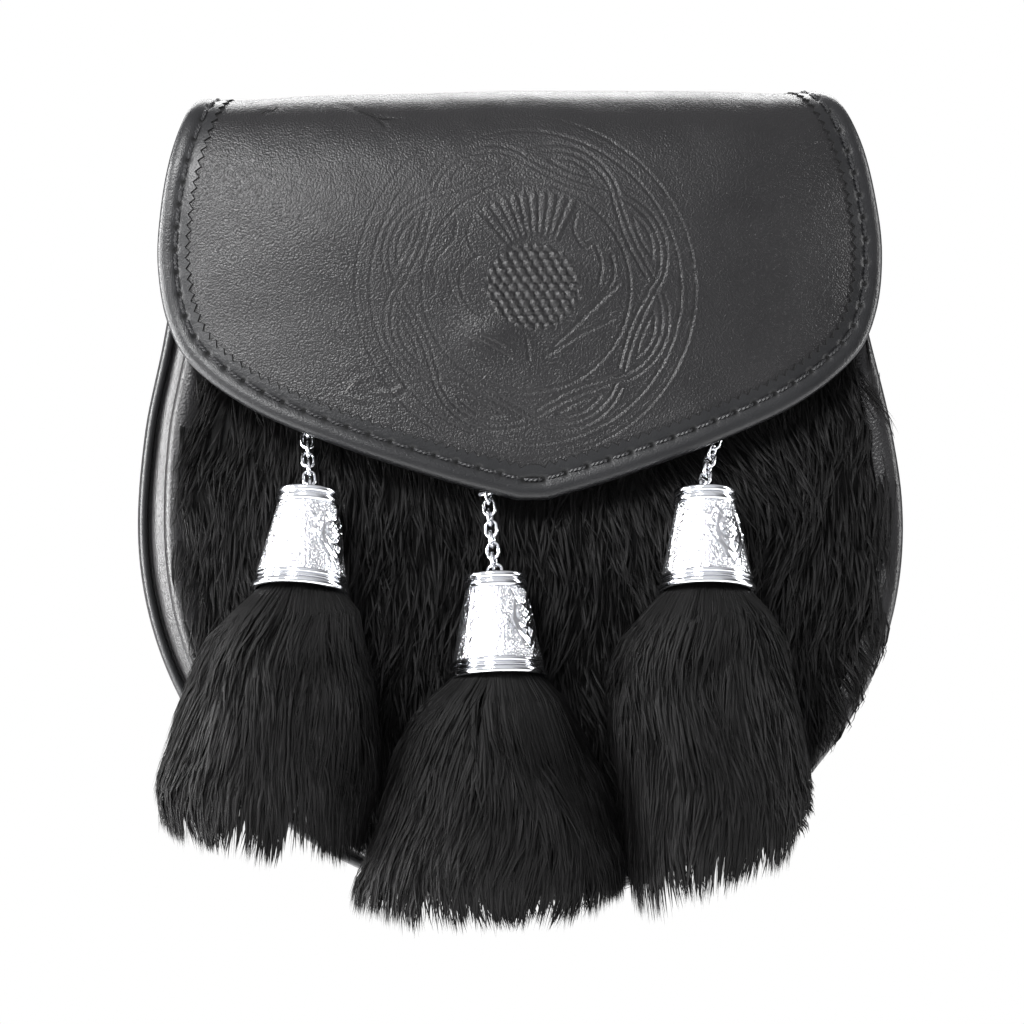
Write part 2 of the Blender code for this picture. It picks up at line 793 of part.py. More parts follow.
def bail_points(top, down, roll):
    """The wire arch on the cone's top, standing square to the last link."""
    up = bail_lean(down)
    across = wire_direction(roll, -up)
    places = [(-BAIL_RADIUS, -BAIL_ROOT)]
    for i in range(BAIL_STEPS + 1):
        angle = math.pi * (1 - i / BAIL_STEPS)
        rise = BAIL_RISE - BAIL_RADIUS + BAIL_RADIUS * math.sin(angle)
        places.append((BAIL_RADIUS * math.cos(angle), rise))
    places.append((BAIL_RADIUS, -BAIL_ROOT))
    return [top + (across * side + up * rise) * MM for side, rise in places]


def helper(ob):
    ob.hide_render = True
    ob.display_type = "WIRE"


def tassel_cone(side, tassel, finish):
    """A turned hollow cone with its bail and raised thistle, all one casting."""
    top, down = cone_axis(tassel)
    tilt = Vector((0, 0, -1)).rotation_difference(down).to_matrix().to_4x4()
    spun = Matrix.Rotation(math.radians(tassel["turn"]), 4, "Z")
    place = Matrix.Translation(top) @ tilt @ spun
    bm = bmesh.new()
    line = [bm.verts.new((r * MM, 0, -d * MM)) for r, d in CONE_PROFILE]
    edges = [bm.edges.new(pair) for pair in zip(line, line[1:])]
    bmesh.ops.spin(
        bm, geom=line + edges, cent=(0, 0, 0), axis=(0, 0, 1), angle=math.tau, steps=CONE_SIDES
    )
    bmesh.ops.remove_doubles(bm, verts=bm.verts, dist=1e-5)
    cone = add(f"tassel_cone_{side}", mesh_of("cone", bm), finish)
    cone.matrix_world = place
    raised = add(f"emblem_{side}", emblem(), finish)
    arch = wire(f"bail_{side}", bail_points(top, down, tassel["roll"]), WIRE / 2, False, finish)
    as_mesh = bpy.data.meshes.new_from_object(arch)
    bpy.data.objects.remove(arch)
    arch = add(f"bail_{side}", as_mesh, finish)
    raised.matrix_world = place
    for piece in (raised, arch):
        helper(piece)
        join = cone.modifiers.new(piece.name, "BOOLEAN")
        join.operation = "UNION"
        join.use_self = True
        join.object = piece


def tassel_fur(side, tassel, finish):
    """Locks of fur on a head that fills the cone's mouth, each lock a ridge that ends in a point."""
    top, down = cone_axis(tassel)
    count = 2 * LOCKS
    rings = []
    across = Vector((1, 0, 0)).cross(down).cross(down).normalized()
    if across.x < 0:
        across = -across
    for inside, radius in ((HEAD_DEPTH, HEAD_RADIUS - HEAD_TAPER), (-HEAD_BELOW, HEAD_RADIUS)):
        centre = top + down * (CONE_HEIGHT - inside) * MM
        ring = []
        for i in range(count):
            turn = math.tau * i / count
            out = across * math.cos(turn) + down.cross(across) * math.sin(turn)
            ring.append(centre + out * radius * MM)
        rings.append(ring)
    rows = TASSEL_ROWS[side]

    def oval(row, share, fall):
        """Round one row, ridges and valleys in turn, with ridges fallen by fall and valleys raised."""
        drop, left, right, depth = row
        back = min(fur_top(left + (right - left) * k / 6, drop) for k in range(7)) - TASSEL_OFF_FUR
        ring = []
        for i in range(count):
            turn = math.tau * i / count
            ridge = i % 2 == 0
            reach = share * (LOCK_RIDGE if ridge else LOCK_VALLEY) / LOCK_RIDGE
            x = (left + right) / 2 + (right - left) / 2 * reach * math.cos(turn)
            y = back - depth / 2 - depth / 2 * reach * math.sin(turn)
            ring.append(spot(x, y, drop + (fall if ridge else -LOCK_NOTCH * fall)))
        return ring

    for row in rows:
        rings.append(oval(row, 1.0, 0.0))
    for share, fall in LOCK_ENDS:
        rings.append(oval(rows[-1], share, fall))
    add(f"tassel_fur_{side}", skin(f"tassel_fur_{side}", rings), finish)


def build():
    clear_scene()
    leather = material("leather", (0.022, 0.020, 0.021), 0.42)
    border = material("border_leather", (0.026, 0.024, 0.025), 0.38)
    fur = material("fur", (0.010, 0.010, 0.012), 0.75)
    chrome = material("chrome", (0.86, 0.87, 0.90), 0.08, 1.0)
    back_panel(leather)
    back_piping(border)
    gusset(leather)
    front_panel(leather)
    front_border(border)
    fur_front(fur)
    flap(leather)
    flap_binding(border)
    flap_stud(chrome)
    belt_loop("belt_loop_left", -LOOP_X, leather)
    belt_loop("belt_loop_right", LOOP_X, leather)
    for side, tassel in TASSELS.items():
        chain_staple(side, tassel, chrome)
        chain(side, tassel, chrome)
        tassel_cone(side, tassel, chrome)
        tassel_fur(side, tassel, fur)


build()
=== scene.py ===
"""Dresses the sporran pouch: grained and embossed leather, pinked and stitched binding, fur and chrome.

Lengths in the tables are millimetres: x to the right seen from the front, y from the back panel's
outer face with plus towards the wearer, and drop, the distance below the top of the flap's fold.
"""

import math

import bpy
import numpy as np
from bpy.props import FloatProperty, FloatVectorProperty, IntProperty, PointerProperty
from mathutils import Matrix, Vector

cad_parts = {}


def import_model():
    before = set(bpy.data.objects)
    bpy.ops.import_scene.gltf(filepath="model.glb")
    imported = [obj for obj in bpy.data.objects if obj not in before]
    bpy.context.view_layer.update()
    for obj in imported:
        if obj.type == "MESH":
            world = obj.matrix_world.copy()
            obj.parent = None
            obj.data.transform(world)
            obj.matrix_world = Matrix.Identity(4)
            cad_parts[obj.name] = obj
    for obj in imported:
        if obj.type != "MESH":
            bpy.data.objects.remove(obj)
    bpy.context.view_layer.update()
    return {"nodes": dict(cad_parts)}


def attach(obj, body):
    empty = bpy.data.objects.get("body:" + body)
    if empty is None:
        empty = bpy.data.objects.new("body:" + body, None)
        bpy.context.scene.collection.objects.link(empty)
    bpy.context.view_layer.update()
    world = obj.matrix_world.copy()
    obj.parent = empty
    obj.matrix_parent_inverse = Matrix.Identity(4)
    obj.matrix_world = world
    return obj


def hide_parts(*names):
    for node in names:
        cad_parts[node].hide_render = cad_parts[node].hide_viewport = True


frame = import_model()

bl_info = {
    "name": "Sporran pouch",
    "version": (1, 0, 0),
    "blender": (4, 5, 0),
    "location": "View3D > Sidebar > Sporran",
    "description": "Models and finishes a leather and fur sporran with three tassels",
    "category": "Object",
}

MM = 0.001
FOLD_TOP = 0.050  # height of the fold's top above the strap's middle
BACK_FACE = -0.0033  # y of the back panel's outer face

# Pouch body
BACK_RADIUS = 94.3
FRONT_RADIUS = 91.5
FRONT_SHIFT = 2.0
WIDEST_DROP = 108.0
BACK_TOP_DROP = 12.5
GUSSET_TOP_DROP = 15.0
FRONT_TOP_DROP = 17.0
BACK_THICK = 2.5
GUSSET_THICK = 1.6
GUSSET_STEPS = 26
FRONT_THICK = 2.0
EASED_EDGE = 0.6
BACK_SEAM_INSET = 5.2
BACK_SEAM_TOP = 24.0
PIPING_RADIUS = 1.1
PIPING_INSET = 1.3
SEAM_GAP = 0.3
DOME = 7.0
DOME_REACH = 0.9
DOME_HALF_HEIGHT = 91.0
PANEL_INSET = 1.9
PANEL_SHARES = (0.02, 0.25, 0.45, 0.6, 0.75, 0.85, 0.92, 1.0)  # sizes of the rings of its mesh
BORDER_BACK = 3.9
SIDE_TAPER = (
    # height above the widest level, share of the radius
    (-25.0, 0.976),
    (0.0, 1.0),
    (25.0, 0.976),
    (47.5, 0.923),
    (70.0, 0.880),
    (87.5, 0.853),
    (100.0, 0.835),
)
DEPTH = (
    # drop, depth of the front panel's edge
    (8.0, 19.0),
    (40.0, 21.5),
    (70.0, 25.0),
    (100.0, 29.5),
    (130.0, 32.5),
    (160.0, 34.0),
    (210.0, 34.0),
)
GUSSET_FOLD = (
    # share of the way from back to front, inset from the pouch's outline
    (0.00, 3.8),
    (0.20, 3.8),
    (0.38, 7.0),
    (0.50, 9.4),
    (0.62, 7.0),
    (0.80, 3.4),
    (1.00, 3.4),
)
BORDER_ROLL = (
    # inset from the front's outline, y behind the front panel's outer face, round the outside
    (6.4, -1.7),
    (3.2, -2.4),
    (0.9, -1.7),
    (0.0, 0.5),
    (0.4, 2.9),
    (1.8, 3.9),
    (6.0, 3.9),
)
BORDER_STEPS = 31  # round the roll
BORDER_LOOSE = 24  # of those steps, how many swell a little
BORDER_SWELL = (0.00018, 0.00022, 0.00018)  # metres along x, y and z
BORDER_INSIDE = ((6.0, 2.3), (1.6, 2.3), (1.6, -0.3), (6.4, -0.3))

# Fur front
FUR_INSET = 7.0
FUR_UNDER_FLAP = 3.0
FUR_FREE = 4.4
FUR_TOP = 3.0
FUR_SPREAD = 10.0
TUFT_RISE = 1.3
HIDE_THICK = 1.2
HIDE_SHARES = (0.02, 0.3, 0.5, 0.7, 0.85, 0.95, 1.0)  # sizes of the rings of its mesh
TUFT_PITCH = 3.7
TUFT_STRAY = 1.3  # how far a tuft may stand from its place in the rows
TUFT_LENGTH = (9.5, 16.5)
TUFT_SPREAD = (1.9, 2.2)  # of a tuft's roots, across and down
TUFT_EDGE = 5.0  # nearest that a tuft grows to the front's outline
TUFT_SWIRL = 0.34
FEW = 0.05  # share of a place that lies free, below which it counts as hidden under the flap
HIDDEN_KEPT = 0.2  # share of the tufts that grow where the flap hides them
COVERED_KEPT = 0.3  # the same behind a tassel

# Flap
FLAP_THICK = 2.0
FLAP_SIDE = 90.0
FLAP_CURL = 3.0
FLESH_GRID = (70, 41)  # rows and columns of the mesh of the flap's inner face
FLAP_SWELL = 0.16
FLAP_WAVE = (0.045, 5)  # size in metres and seed of its swell
FLAP_CALM = (8.0, 4.0)  # how far in from its edge the leather starts to be uneven, and over how much
FLAP_EDGE = 1.6  # how far inside the binding's edge the panel ends
HEM_HALF = 72  # half the length of the seam along its end on the back
HEM_PLACE = 0.42  # place of that seam in FLAP_ROWS
BINDING_START = 2.4  # place in FLAP_ROWS
BINDING_FRONT = 8.0
BINDING_BACK = 6.0
BINDING_ROUND = 2.0
BINDING_HIGH = 2.0  # of its outer face above the middle of the flap's leather
BINDING_LOW = 1.4  # the same at the pinked edge
BINDING_FALL = (2.4, 3.0)  # how far in it starts to fall from its roll, and over how much
TOOTH_RISE = 0.6
STRIP_INSETS = (8.0, 7.9, 7.4, 6.9, 6.3, 5.8, 5.5, 5.25, 5.0, 4.75, 4.5, 4.2, 3.7, 3.2, 2.7, 2.3)
# Columns of the binding's strip that rise with a tooth, each with its share of the rise
TOOTH_COLUMNS = ((0, 1.0), (1, 1.0), (2, 1.0), (3, 0.8), (4, 0.4), (-1, 1.0))
PER_TOOTH = 6  # rings of the strip along a tooth
HOLE_REACH = 0.9  # radius of a stitch hole
HOLE_DEEP = 0.22
STITCH_SHARE = 0.8  # of the pitch that a stitch takes up
STITCH_INSET = 5.0
STITCH_GROOVE = (0.14, 0.6)  # depth and width of what the stitches pull in
FLAP_ROWS = (
    # middle y, middle drop, side y, side drop, half width
    (1.3, 21.0, 1.3, 21.5, 74.0),
    (1.3, 10.5, 1.3, 11.5, 74.8),
    (-2.2, 3.2, -2.0, 6.0, 76.2),
    (-12.0, 1.4, -9.5, 4.3, 78.4),
    (-22.5, 4.2, -17.0, 7.7, 82.2),
    (-31.0, 12.5, -21.5, 17.0, 86.0),
    (-36.5, 26.0, -24.0, 29.0, 88.5),
    (-39.5, 42.0, -26.0, 42.5, 89.5),
    (-41.2, 57.0, -28.0, 57.0, 87.4),
    (-42.6, 68.0, -30.0, 68.0, 81.3),
    (-44.2, 79.0, -31.0, 79.0, 66.5),
    (-45.4, 88.5, -32.0, 88.5, 44.5),
    (-46.0, 96.5, -33.0, 96.5, 21.0),
    (-46.2, 101.4, -33.5, 101.4, 3.8),
)

# The pressed medallion: a ring of interlace round a thistle
FINE_STEP = 0.37  # of the flap's mesh across the medallion
ROW_STEP = 1.2  # of the same elsewhere
COLUMN_STEP = 1.8
ON_FRONT = 3  # the place in FLAP_ROWS where the flap's front starts
MEDALLION_REACH = 43.0  # how far from its middle the flap's mesh is fine
PRESS_WIDE = 0.27
SHOULDER = (0.7, 0.35, 0.25)  # beside a pressed line: how far off, how wide and what share of its depth
MEDALLION_X = -0.3
MEDALLION_DROP = 49.5
RINGS = (41.7, 38.2, 25.6)
PLAIT_RADIUS = 31.9
PLAIT_SWING = 3.7
PLAIT_TURNS = 8
PLAIT_BAND = 0.85  # half the width of a strand
PLAIT_GAP = 0.055  # radians left out where a strand passes under the other
PLAIT_EYE = 1.25  # half the width of the eye in each of its loops
THISTLE_LEAVES = (
    ((-16.9, 32.6), (-17.8, 37.5), (-20.2, 40.0), (-23.1, 44.1), (-22.3, 47.4), (-23.1, 50.7)),
    ((-12.0, 41.6), (-16.1, 45.7), (-16.1, 50.7), (-13.5, 55.0), (-10.5, 56.5)),
    ((-19.5, 45.0), (-18.6, 50.0), (-16.8, 53.0)),
    ((12.7, 31.7), (11.8, 35.9), (14.3, 40.0), (16.8, 39.1), (18.4, 44.1), (17.6, 49.0)),
    ((20.9, 41.6), (21.3, 47.4), (17.6, 53.1), (12.7, 57.2)),
    ((7.7, 42.4), (10.4, 47.0), (12.7, 52.3)),
    ((-0.5, 62.2), (-0.1, 67.1)),
    ((3.6, 66.7), (12.7, 61.3), (20.9, 57.6)),
    ((6.1, 63.8), (11.8, 58.9), (22.5, 49.0)),
    ((-4.6, 66.7), (-13.7, 61.8), (-21.4, 56.8)),
    ((-6.4, 64.0), (-13.0, 60.4), (-20.8, 52.5)),
    ((-13.0, 40.6), (-14.4, 36.8), (-13.2, 33.0)),
)
BULB = (1.5, 49.4, 11.3, 10.3)  # x, drop, half width, half height
CROWN_FAN = (2.5, 47.7, -45.0, 30.0, 11)  # middle x, drop, first and last angle, number of ribs
CROWN_REACH = (10.4, 20.4)  # radii where the ribs start and end
SCALE_WIDE = 2.5
SCALE_TALL = 1.95
SCALES_HIGH = 1.7  # times the depth of a pressed line
CROWN_HIGH = 1.2
CRACKS = (
    ((-65.3, 7.4), (-62.0, 5.6), (-60.4, 5.4), (-58.7, 4.4)),
    ((-43.6, 4.0), (-38.6, 6.0), (-34.0, 7.6), (-28.9, 7.8)),
    ((-36.5, 6.3), (-33.0, 9.6)),
)
CRACK_WIDTHS = (0.34, 0.34, 0.26)
CRACK_DEEP = 0.2
CRACK_SPREAD = 0.5
# Painted shade: near-black slivers in the cracks and scratches stand in for the shade at their bottoms
CRACK_SHADE_COLOUR = (0.0008, 0.0008, 0.0008)
SCRATCHES = (
    ((-19.7, 60.2), (-14.5, 62.4), (-9.8, 64.4)),
    ((-17.6, 59.2), (-12.0, 61.8)),
)
SCRATCH_WIDTHS = (0.13, 0.13)
SCUFFS = (
    ((-45.8, 75.0), (-43.5, 72.6), (-41.0, 70.8)),
    ((-44.5, 75.6), (-42.4, 76.0), (-40.4, 76.8)),
    ((-36.2, 74.6), (-33.6, 74.8), (-31.6, 73.6)),
)
SCUFF_WIDTHS = (0.34, 0.26, 0.26)
SCUFF_HIGH = 0.16
SCUFF_COLOUR = (0.16, 0.155, 0.15)
BULGE = (-9.8, 60.4, 6.5, 3.6)  # x, drop, half width, half height of a raised place in the flap
BULGE_HIGH = 0.75

# Loops for the strap
LOOP_X = 38.0
LOOP_WIDTH = 14.0
LOOP_THICK = 2.0
LOOP_EASED = 0.35
LOOP_GAP_DEPTH = 6.0
LOOP_GAP_HALF = 17.0
LOOP_PAD = 9.0
LOOP_SEAM = 4.0  # from a pad's end to the middle of its ring of stitches
PAD_MARGIN = (1.8, 1.6)  # from a pad's sides and ends to its stitches
LOOP_BEND = 1.2
LOOP_ROUND = 3.5

# Chains and tassels
WIRE = 0.9
LINK_LENGTH = 5.2
LINK_WIDTH = 3.75
BAIL_RADIUS = 1.9
BAIL_RISE = 3.0
BAIL_ROOT = 1.3
BAIL_LEAN = 0.55
CONE_HEIGHT = 25.6
CONE_TOP_RADIUS = 7.8
CONE_BASE_RADIUS = 12.1
CONE_OFF_FUR = 0.5
CONE_BODY = ((4.0, 7.3), (21.4, 10.95))  # drop and radius at its two ends
CONE_BEADS = (
    # start drop, end drop, radius beside it, how far it bulges
    (0.1, 1.65, 7.15, 0.65),
    (1.8, 3.75, 7.2, 0.65),
    (21.6, 22.75, 10.9, 0.55),
    (22.85, 23.75, 11.0, 0.35),
    (23.85, 25.6, 11.35, 0.75),
)
CONE_INSIDE = ((10.8, 25.5), (10.5, 23.0), (10.2, 20.6), (6.2, 2.2), (0.0, 2.2))
TASSELS = {
    # roll of the last link, cone top x and drop, cone base x, emblem's turn
    "left": dict(roll=0, top_x=-54.9, top=98.1, base_x=-58.0, turn=48),
    "centre": dict(roll=65, top_x=-10.3, top=119.3, base_x=-10.3, turn=46),
    "right": dict(roll=-40, top_x=42.0, top=99.8, base_x=41.2, turn=34),
}
TASSEL_ROWS = {
    # drop, left x, right x, depth front to back
    "left": (
        (127.5, -75.0, -43.8, 25.0),
        (133.0, -80.5, -43.5, 25.0),
        (143.0, -86.0, -40.5, 28.0),
        (156.0, -90.4, -39.5, 30.0),
        (170.0, -93.9, -40.0, 31.0),
        (182.0, -91.5, -43.5, 29.0),
    ),
    "centre": (
        (149.2, -28.0, 5.6, 25.0),
        (156.0, -33.0, 9.0, 27.0),
        (167.0, -37.6, 14.2, 30.0),
        (179.0, -40.6, 17.6, 32.0),
        (190.0, -45.0, 19.4, 32.0),
        (200.0, -46.5, 19.0, 29.0),
    ),
    "right": (
        (130.2, 24.5, 57.0, 25.0),
        (136.0, 19.5, 59.5, 26.0),
        (147.0, 15.5, 61.8, 29.0),
        (160.0, 17.0, 64.2, 31.0),
        (175.0, 19.6, 66.2, 31.0),
        (192.0, 20.6, 63.4, 29.0),
    ),
}
WISP_SHARE = 0.5  # of the tassels' strands
FRONT_WISPS = 0.5  # the same of the front's
FRONT_WISP_WIDTH = 0.8  # of a tassel's wisp
TASSEL_ENDS = {
    # x, drop of the lowest hairs there
    "left": (
        (-96.0, 168.0), (-94.5, 178.0), (-90.0, 183.5), (-83.7, 185.0), (-77.6, 187.0), (-71.4, 188.5),
        (-66.5, 189.0), (-59.1, 187.0), (-50.0, 190.0), (-42.0, 188.0),
    ),
    "centre": (
        (-48.0, 196.0), (-46.7, 201.2), (-40.6, 204.7), (-34.4, 206.2), (-22.0, 206.0), (-9.8, 206.4),
        (2.6, 205.6), (14.9, 203.5), (19.5, 199.0),
    ),
    "right": (
        (20.0, 204.0), (24.0, 206.0), (33.4, 201.5), (39.6, 200.0), (45.7, 197.5), (51.9, 195.5),
        (58.0, 195.0), (59.5, 192.0), (61.5, 179.0), (64.5, 172.0),
    ),
}
CONE_DOWN = (
    # x round the cone and drop down it, of the lines of the raised thistle's down
    ((-3.4, 4.6), (-1.4, 8.2)),
    ((-1.9, 4.4), (-0.8, 8.0)),
    ((-0.5, 4.3), (-0.2, 7.9)),
    ((0.9, 4.3), (0.4, 7.9)),
    ((2.2, 4.4), (0.9, 8.0)),
    ((3.5, 4.7), (1.5, 8.3)),
)
CONE_LEAVES = (
    # the same of its right leaf, which has its mirror image on the left
    ((3.9, 6.6), (4.9, 8.4), (4.3, 10.6), (5.9, 11.4), (5.0, 13.6), (3.4, 15.6), (1.9, 17.4), (0.0, 20.2)),
    ((4.9, 8.4), (6.2, 7.2)),
    ((2.6, 13.6), (1.5, 15.6), (0.0, 17.2)),
)
CONE_LINE_HIGH = 0.4
CONE_LINE_WIDE = 0.29
CONE_BULB = (0.0, 10.9, 2.9, 2.9)
CONE_BULB_HIGH = 0.75
CONE_SCALE = 1.5  # pitch of the scales on its bulb
CONE_SCALE_HIGH = 0.28
CONE_BERRIES = ((-1.1, 15.0), (1.1, 15.0))
BERRY_RADIUS = 0.85
BERRY_HIGH = 0.8
LEAF_HIGH = 0.22
SEAM_TURN = 1.75  # radians from the thistle to the casting's seam
SEAM_HIGH = 0.25
SEAM_WIDE = 0.25
PEBBLES_BELOW = 0.12  # height above which the casting is smooth
CONE_STEPS = 150  # points round a cone
CLUMPS = 400  # tufts of hair in a tassel
CLUMP_LENGTH = (19, 31)
CLUMPS_IN_FRONT = 0.78  # share of them that faces the front
CORE_SHARE = 0.80  # of the tassel's size that its core takes up
CORE_TAPER = 0.14  # how much less at its lower end
CORE_SHORT = 13.0  # from where the core starts to close to the last of its TASSEL_ROWS

# Stitches: pitch, length and radius of a ply in metres
BACK_STITCH = (0.0046, 0.0036, 0.00030)
HEM_STITCH = (0.0048, 0.0038, 0.0003)
PAD_STITCH = (0.0034, 0.0027, 0.00026)
BINDING_PLY = 0.00034
PLY_TURNS = 1.8  # of the two plies round each other in one stitch
THREAD_RISE = 0.12  # of a seam's thread above the leather

# The stage
LAMPS = {
    # place, aim, width, height, watts
    "Key": ((-0.72, -1.25, 0.99), (0, -0.02, -0.03), 0.6, 0.4, 30.0),
    "Back": ((0.0, 1.3, 0.85), (0, -0.02, 0.03), 1.8, 0.5, 22.0),
    "Right": ((1.3, -0.1, 0.15), (0, -0.02, -0.05), 0.3, 1.2, 15.0),
    "Left": ((-1.3, -0.5, 0.1), (-0.05, -0.02, -0.03), 0.25, 1.0, 24.0),
    "Left_rim": ((-1.2, 0.16, 0.1), (-0.05, -0.02, -0.05), 0.3, 1.2, 40.0),
}
ROUND_ABOUT = (
    # share of the way round from behind, by the left, the front (0.5) and the right, and brightness
    (0.0, 0.13),
    (0.17, 0.13),
    (0.225, 0.20),
    (0.25, 0.70),
    (0.40, 1.0),
    (0.50, 0.92),
    (0.57, 0.78),
    (0.62, 0.34),
    (0.67, 0.10),
    (0.73, 0.20),
    (0.78, 0.20),
    (0.83, 0.11),
    (1.0, 0.13),
)
OVERHEAD = (0.77, 0.77, 0.79)
UNDERNEATH = (0.04, 0.039, 0.038)
FLOOR_DROP = 0.6
FLOOR_RADIUS = 4.0
VIEW_AZIMUTH = -5.6
VIEW_ELEVATION = 0.8
VIEW_ROLL = -0.95
VIEW_AIM = (-0.0033, -0.030, -0.0545)
VIEW_DISTANCE = 2.0
VIEW_WIDTH = 0.2525  # of what the picture shows at its aim
FILM = 36.0  # width of the camera's film in millimetres


class SporranSizes(bpy.types.PropertyGroup):
    """Sizes and numbers of the finishes."""

    grain: FloatProperty(
        name="Leather grain", description="Width of one pebble of the grain", default=0.0005, unit="LENGTH"
    )
    press: FloatProperty(
        name="Pressed lines", description="Depth of the medallion's lines", default=0.00022, unit="LENGTH"
    )
    tooth: FloatProperty(
        name="Pinked teeth",
        description="Width of one tooth of the binding's edge",
        default=0.0027,
        unit="LENGTH",
    )
    stitch: FloatProperty(
        name="Stitch pitch",
        description="From one stitch of the binding to the next",
        default=0.0056,
        unit="LENGTH",
    )
    hair: FloatProperty(
        name="Hair width", description="Width of one hair of the fur", default=0.00022, unit="LENGTH"
    )
    wisp: FloatProperty(
        name="Wisp width", description="Width of hairs that lie together", default=0.00085, unit="LENGTH"
    )
    front_hairs: IntProperty(name="Front hairs", description="Hairs and wisps on the front", default=11000)
    tassel_hairs: IntProperty(name="Tassel hairs", description="Hairs and wisps on each tassel", default=7200)


class SporranColours(bpy.types.PropertyGroup):
    """Colours of the finishes."""

    leather: FloatVectorProperty(
        name="Leather", description="Grained black leather", subtype="COLOR", default=(0.0085, 0.0080, 0.0085)
    )
    binding: FloatVectorProperty(
        name="Binding", description="Smooth black leather", subtype="COLOR", default=(0.0085, 0.0086, 0.0094)
    )
    suede: FloatVectorProperty(
        name="Flesh side",
        description="The leather's rough inner side",
        subtype="COLOR",
        default=(0.030, 0.026, 0.024),
    )
    thread: FloatVectorProperty(
        name="Thread", description="Waxed black thread", subtype="COLOR", default=(0.010, 0.010, 0.011)
    )
    hair_dark: FloatVectorProperty(
        name="Dark hair", description="The darkest hairs", subtype="COLOR", default=(0.0014, 0.0013, 0.0013)
    )
    hair_light: FloatVectorProperty(
        name="Light hair", description="The lightest hairs", subtype="COLOR", default=(0.0125, 0.0120, 0.0122)
    )
    chrome: FloatVectorProperty(
        name="Chrome", description="Plated metal", subtype="COLOR", default=(0.86, 0.87, 0.90)
    )
    floor: FloatVectorProperty(
        name="Floor", description="Pale floor", subtype="COLOR", default=(0.92, 0.92, 0.92)
    )


# Forms that the pieces share


def world(x, y, drop):
    """Points in metres from millimetres."""
    places = np.broadcast_arrays(x * MM, BACK_FACE + y * MM, FOLD_TOP - drop * MM)
    return np.stack(places, axis=-1)


def unit(vectors):
    return vectors / np.linalg.norm(vectors, axis=-1, keepdims=True)


def rows_at(rows, place):
    """The table's rows at places between them, on a smooth curve."""
    rows = np.asarray(rows, float)
    rows = np.vstack([2 * rows[0] - rows[1], rows, 2 * rows[-1] - rows[-2]])
    place = np.asarray(place, float)
    i = np.clip(place.astype(int), 0, len(rows) - 4)
    f = (place - i)[..., None]
    a, b, c, d = (rows[i + k] for k in range(4))
    return 0.5 * (2 * b + (c - a) * f + (2 * a - 5 * b + 4 * c - d) * f**2 + (3 * b - a - 3 * c + d) * f**3)


def column_at(table, key):
    """The second column of a table where its first is key, straight between rows."""
    return np.interp(key, [row[0] for row in table], [row[1] for row in table])


def curve_at(table, key):
    """The second column of a table where its first is key, on a smooth curve."""
    place = np.interp(key, [row[0] for row in table], np.arange(len(table)))
    return rows_at(table, place)[..., 1]


def ease(share):
    share = np.clip(share, 0, 1)
    return share * share * (3 - 2 * share)


def ripple(points, size, seed):
    """A gentle random swell over points, with bumps about size apart."""
    maker = np.random.default_rng(seed)
    total = 0
    for _ in range(7):
        way = unit(maker.normal(size=3)) * math.tau / size * maker.uniform(0.6, 1.5)
        total = total + np.sin(points @ way + maker.uniform(0, math.tau))
    return total / 3


def smoothed(line, steps=6):
    """The line's points and points between them on a smooth curve."""
    if len(line) < 3:
        return line
    return rows_at(line, np.linspace(0, len(line) - 1, (len(line) - 1) * steps + 1)).tolist()


def near_lines(x, drop, lines, reach):
    """Distance from each point to the nearest of the lines, or reach where none is nearer."""
    near = np.full(x.shape, float(reach))
    for line in map(smoothed, lines):
        for (ax, ad), (bx, bd) in zip(line, line[1:]):
            box = (x > min(ax, bx) - reach) & (x < max(ax, bx) + reach)
            box &= (drop > min(ad, bd) - reach) & (drop < max(ad, bd) + reach)
            px, pd = x[box] - ax, drop[box] - ad
            ux, ud = bx - ax, bd - ad
            share = np.clip((px * ux + pd * ud) / (ux * ux + ud * ud), 0, 1)
            away = np.hypot(px - ux * share, pd - ud * share)
            near[box] = np.minimum(near[box], away)
    return near


def half_width(radius, height):
    low = np.sqrt(np.maximum(0, radius**2 - np.minimum(height, 0) ** 2))
    return np.where(height < 0, low, radius * curve_at(SIDE_TAPER, np.maximum(height, 0)))


def outline(radius, inset, shift, top_drop, side_steps=34, arc_steps=110):
    """Places (x, drop) down the left side, round the bottom and up the right side."""
    height = (WIDEST_DROP - top_drop) * (1 - np.arange(side_steps) / side_steps)
    side = np.stack([half_width(radius, height) - inset, WIDEST_DROP - height], axis=1)
    turn = np.pi * np.arange(arc_steps + 1) / arc_steps
    arc = np.stack([-np.cos(turn), np.sin(turn)], axis=1) * (radius - inset) + (0, WIDEST_DROP)
    return np.vstack([side * (-1, 1), arc, side[::-1]]) + (shift, 0)


def closed_outline(radius, inset, shift, top_drop):
    """The outline with its straight top edge."""
    line = outline(radius, inset, shift, top_drop)
    share = np.arange(1, 60)[:, None] / 60
    return np.vstack([line, line[-1] + (line[0] - line[-1]) * share])


def drawn_in(line, share):
    middle = np.array((FRONT_SHIFT, WIDEST_DROP))
    return middle + (line - middle) * share


def front_y(x, drop):
    """The front panel's outer face."""
    across = ((x - FRONT_SHIFT) / FRONT_RADIUS) ** 2
    down = ((drop - WIDEST_DROP) / DOME_HALF_HEIGHT) ** 2
    return -column_at(DEPTH, drop) - DOME * np.maximum(0, 1 - (across + down) / DOME_REACH**2)


def below_flap(x, drop):
    """0 under the flap, rising to 1 where the fur lies free below it."""
    edge = np.interp(np.abs(x), [row[4] for row in FLAP_ROWS[:7:-1]], [row[1] for row in FLAP_ROWS[:7:-1]])
    return ease((drop - edge) / FUR_SPREAD)


def fur_top(x, drop):
    """The y of the fur's highest tufts."""
    free = below_flap(x, drop)
    lift = SEAM_GAP + FUR_UNDER_FLAP + (FUR_FREE - FUR_UNDER_FLAP) * free
    return front_y(x, drop) - lift - TUFT_RISE * free


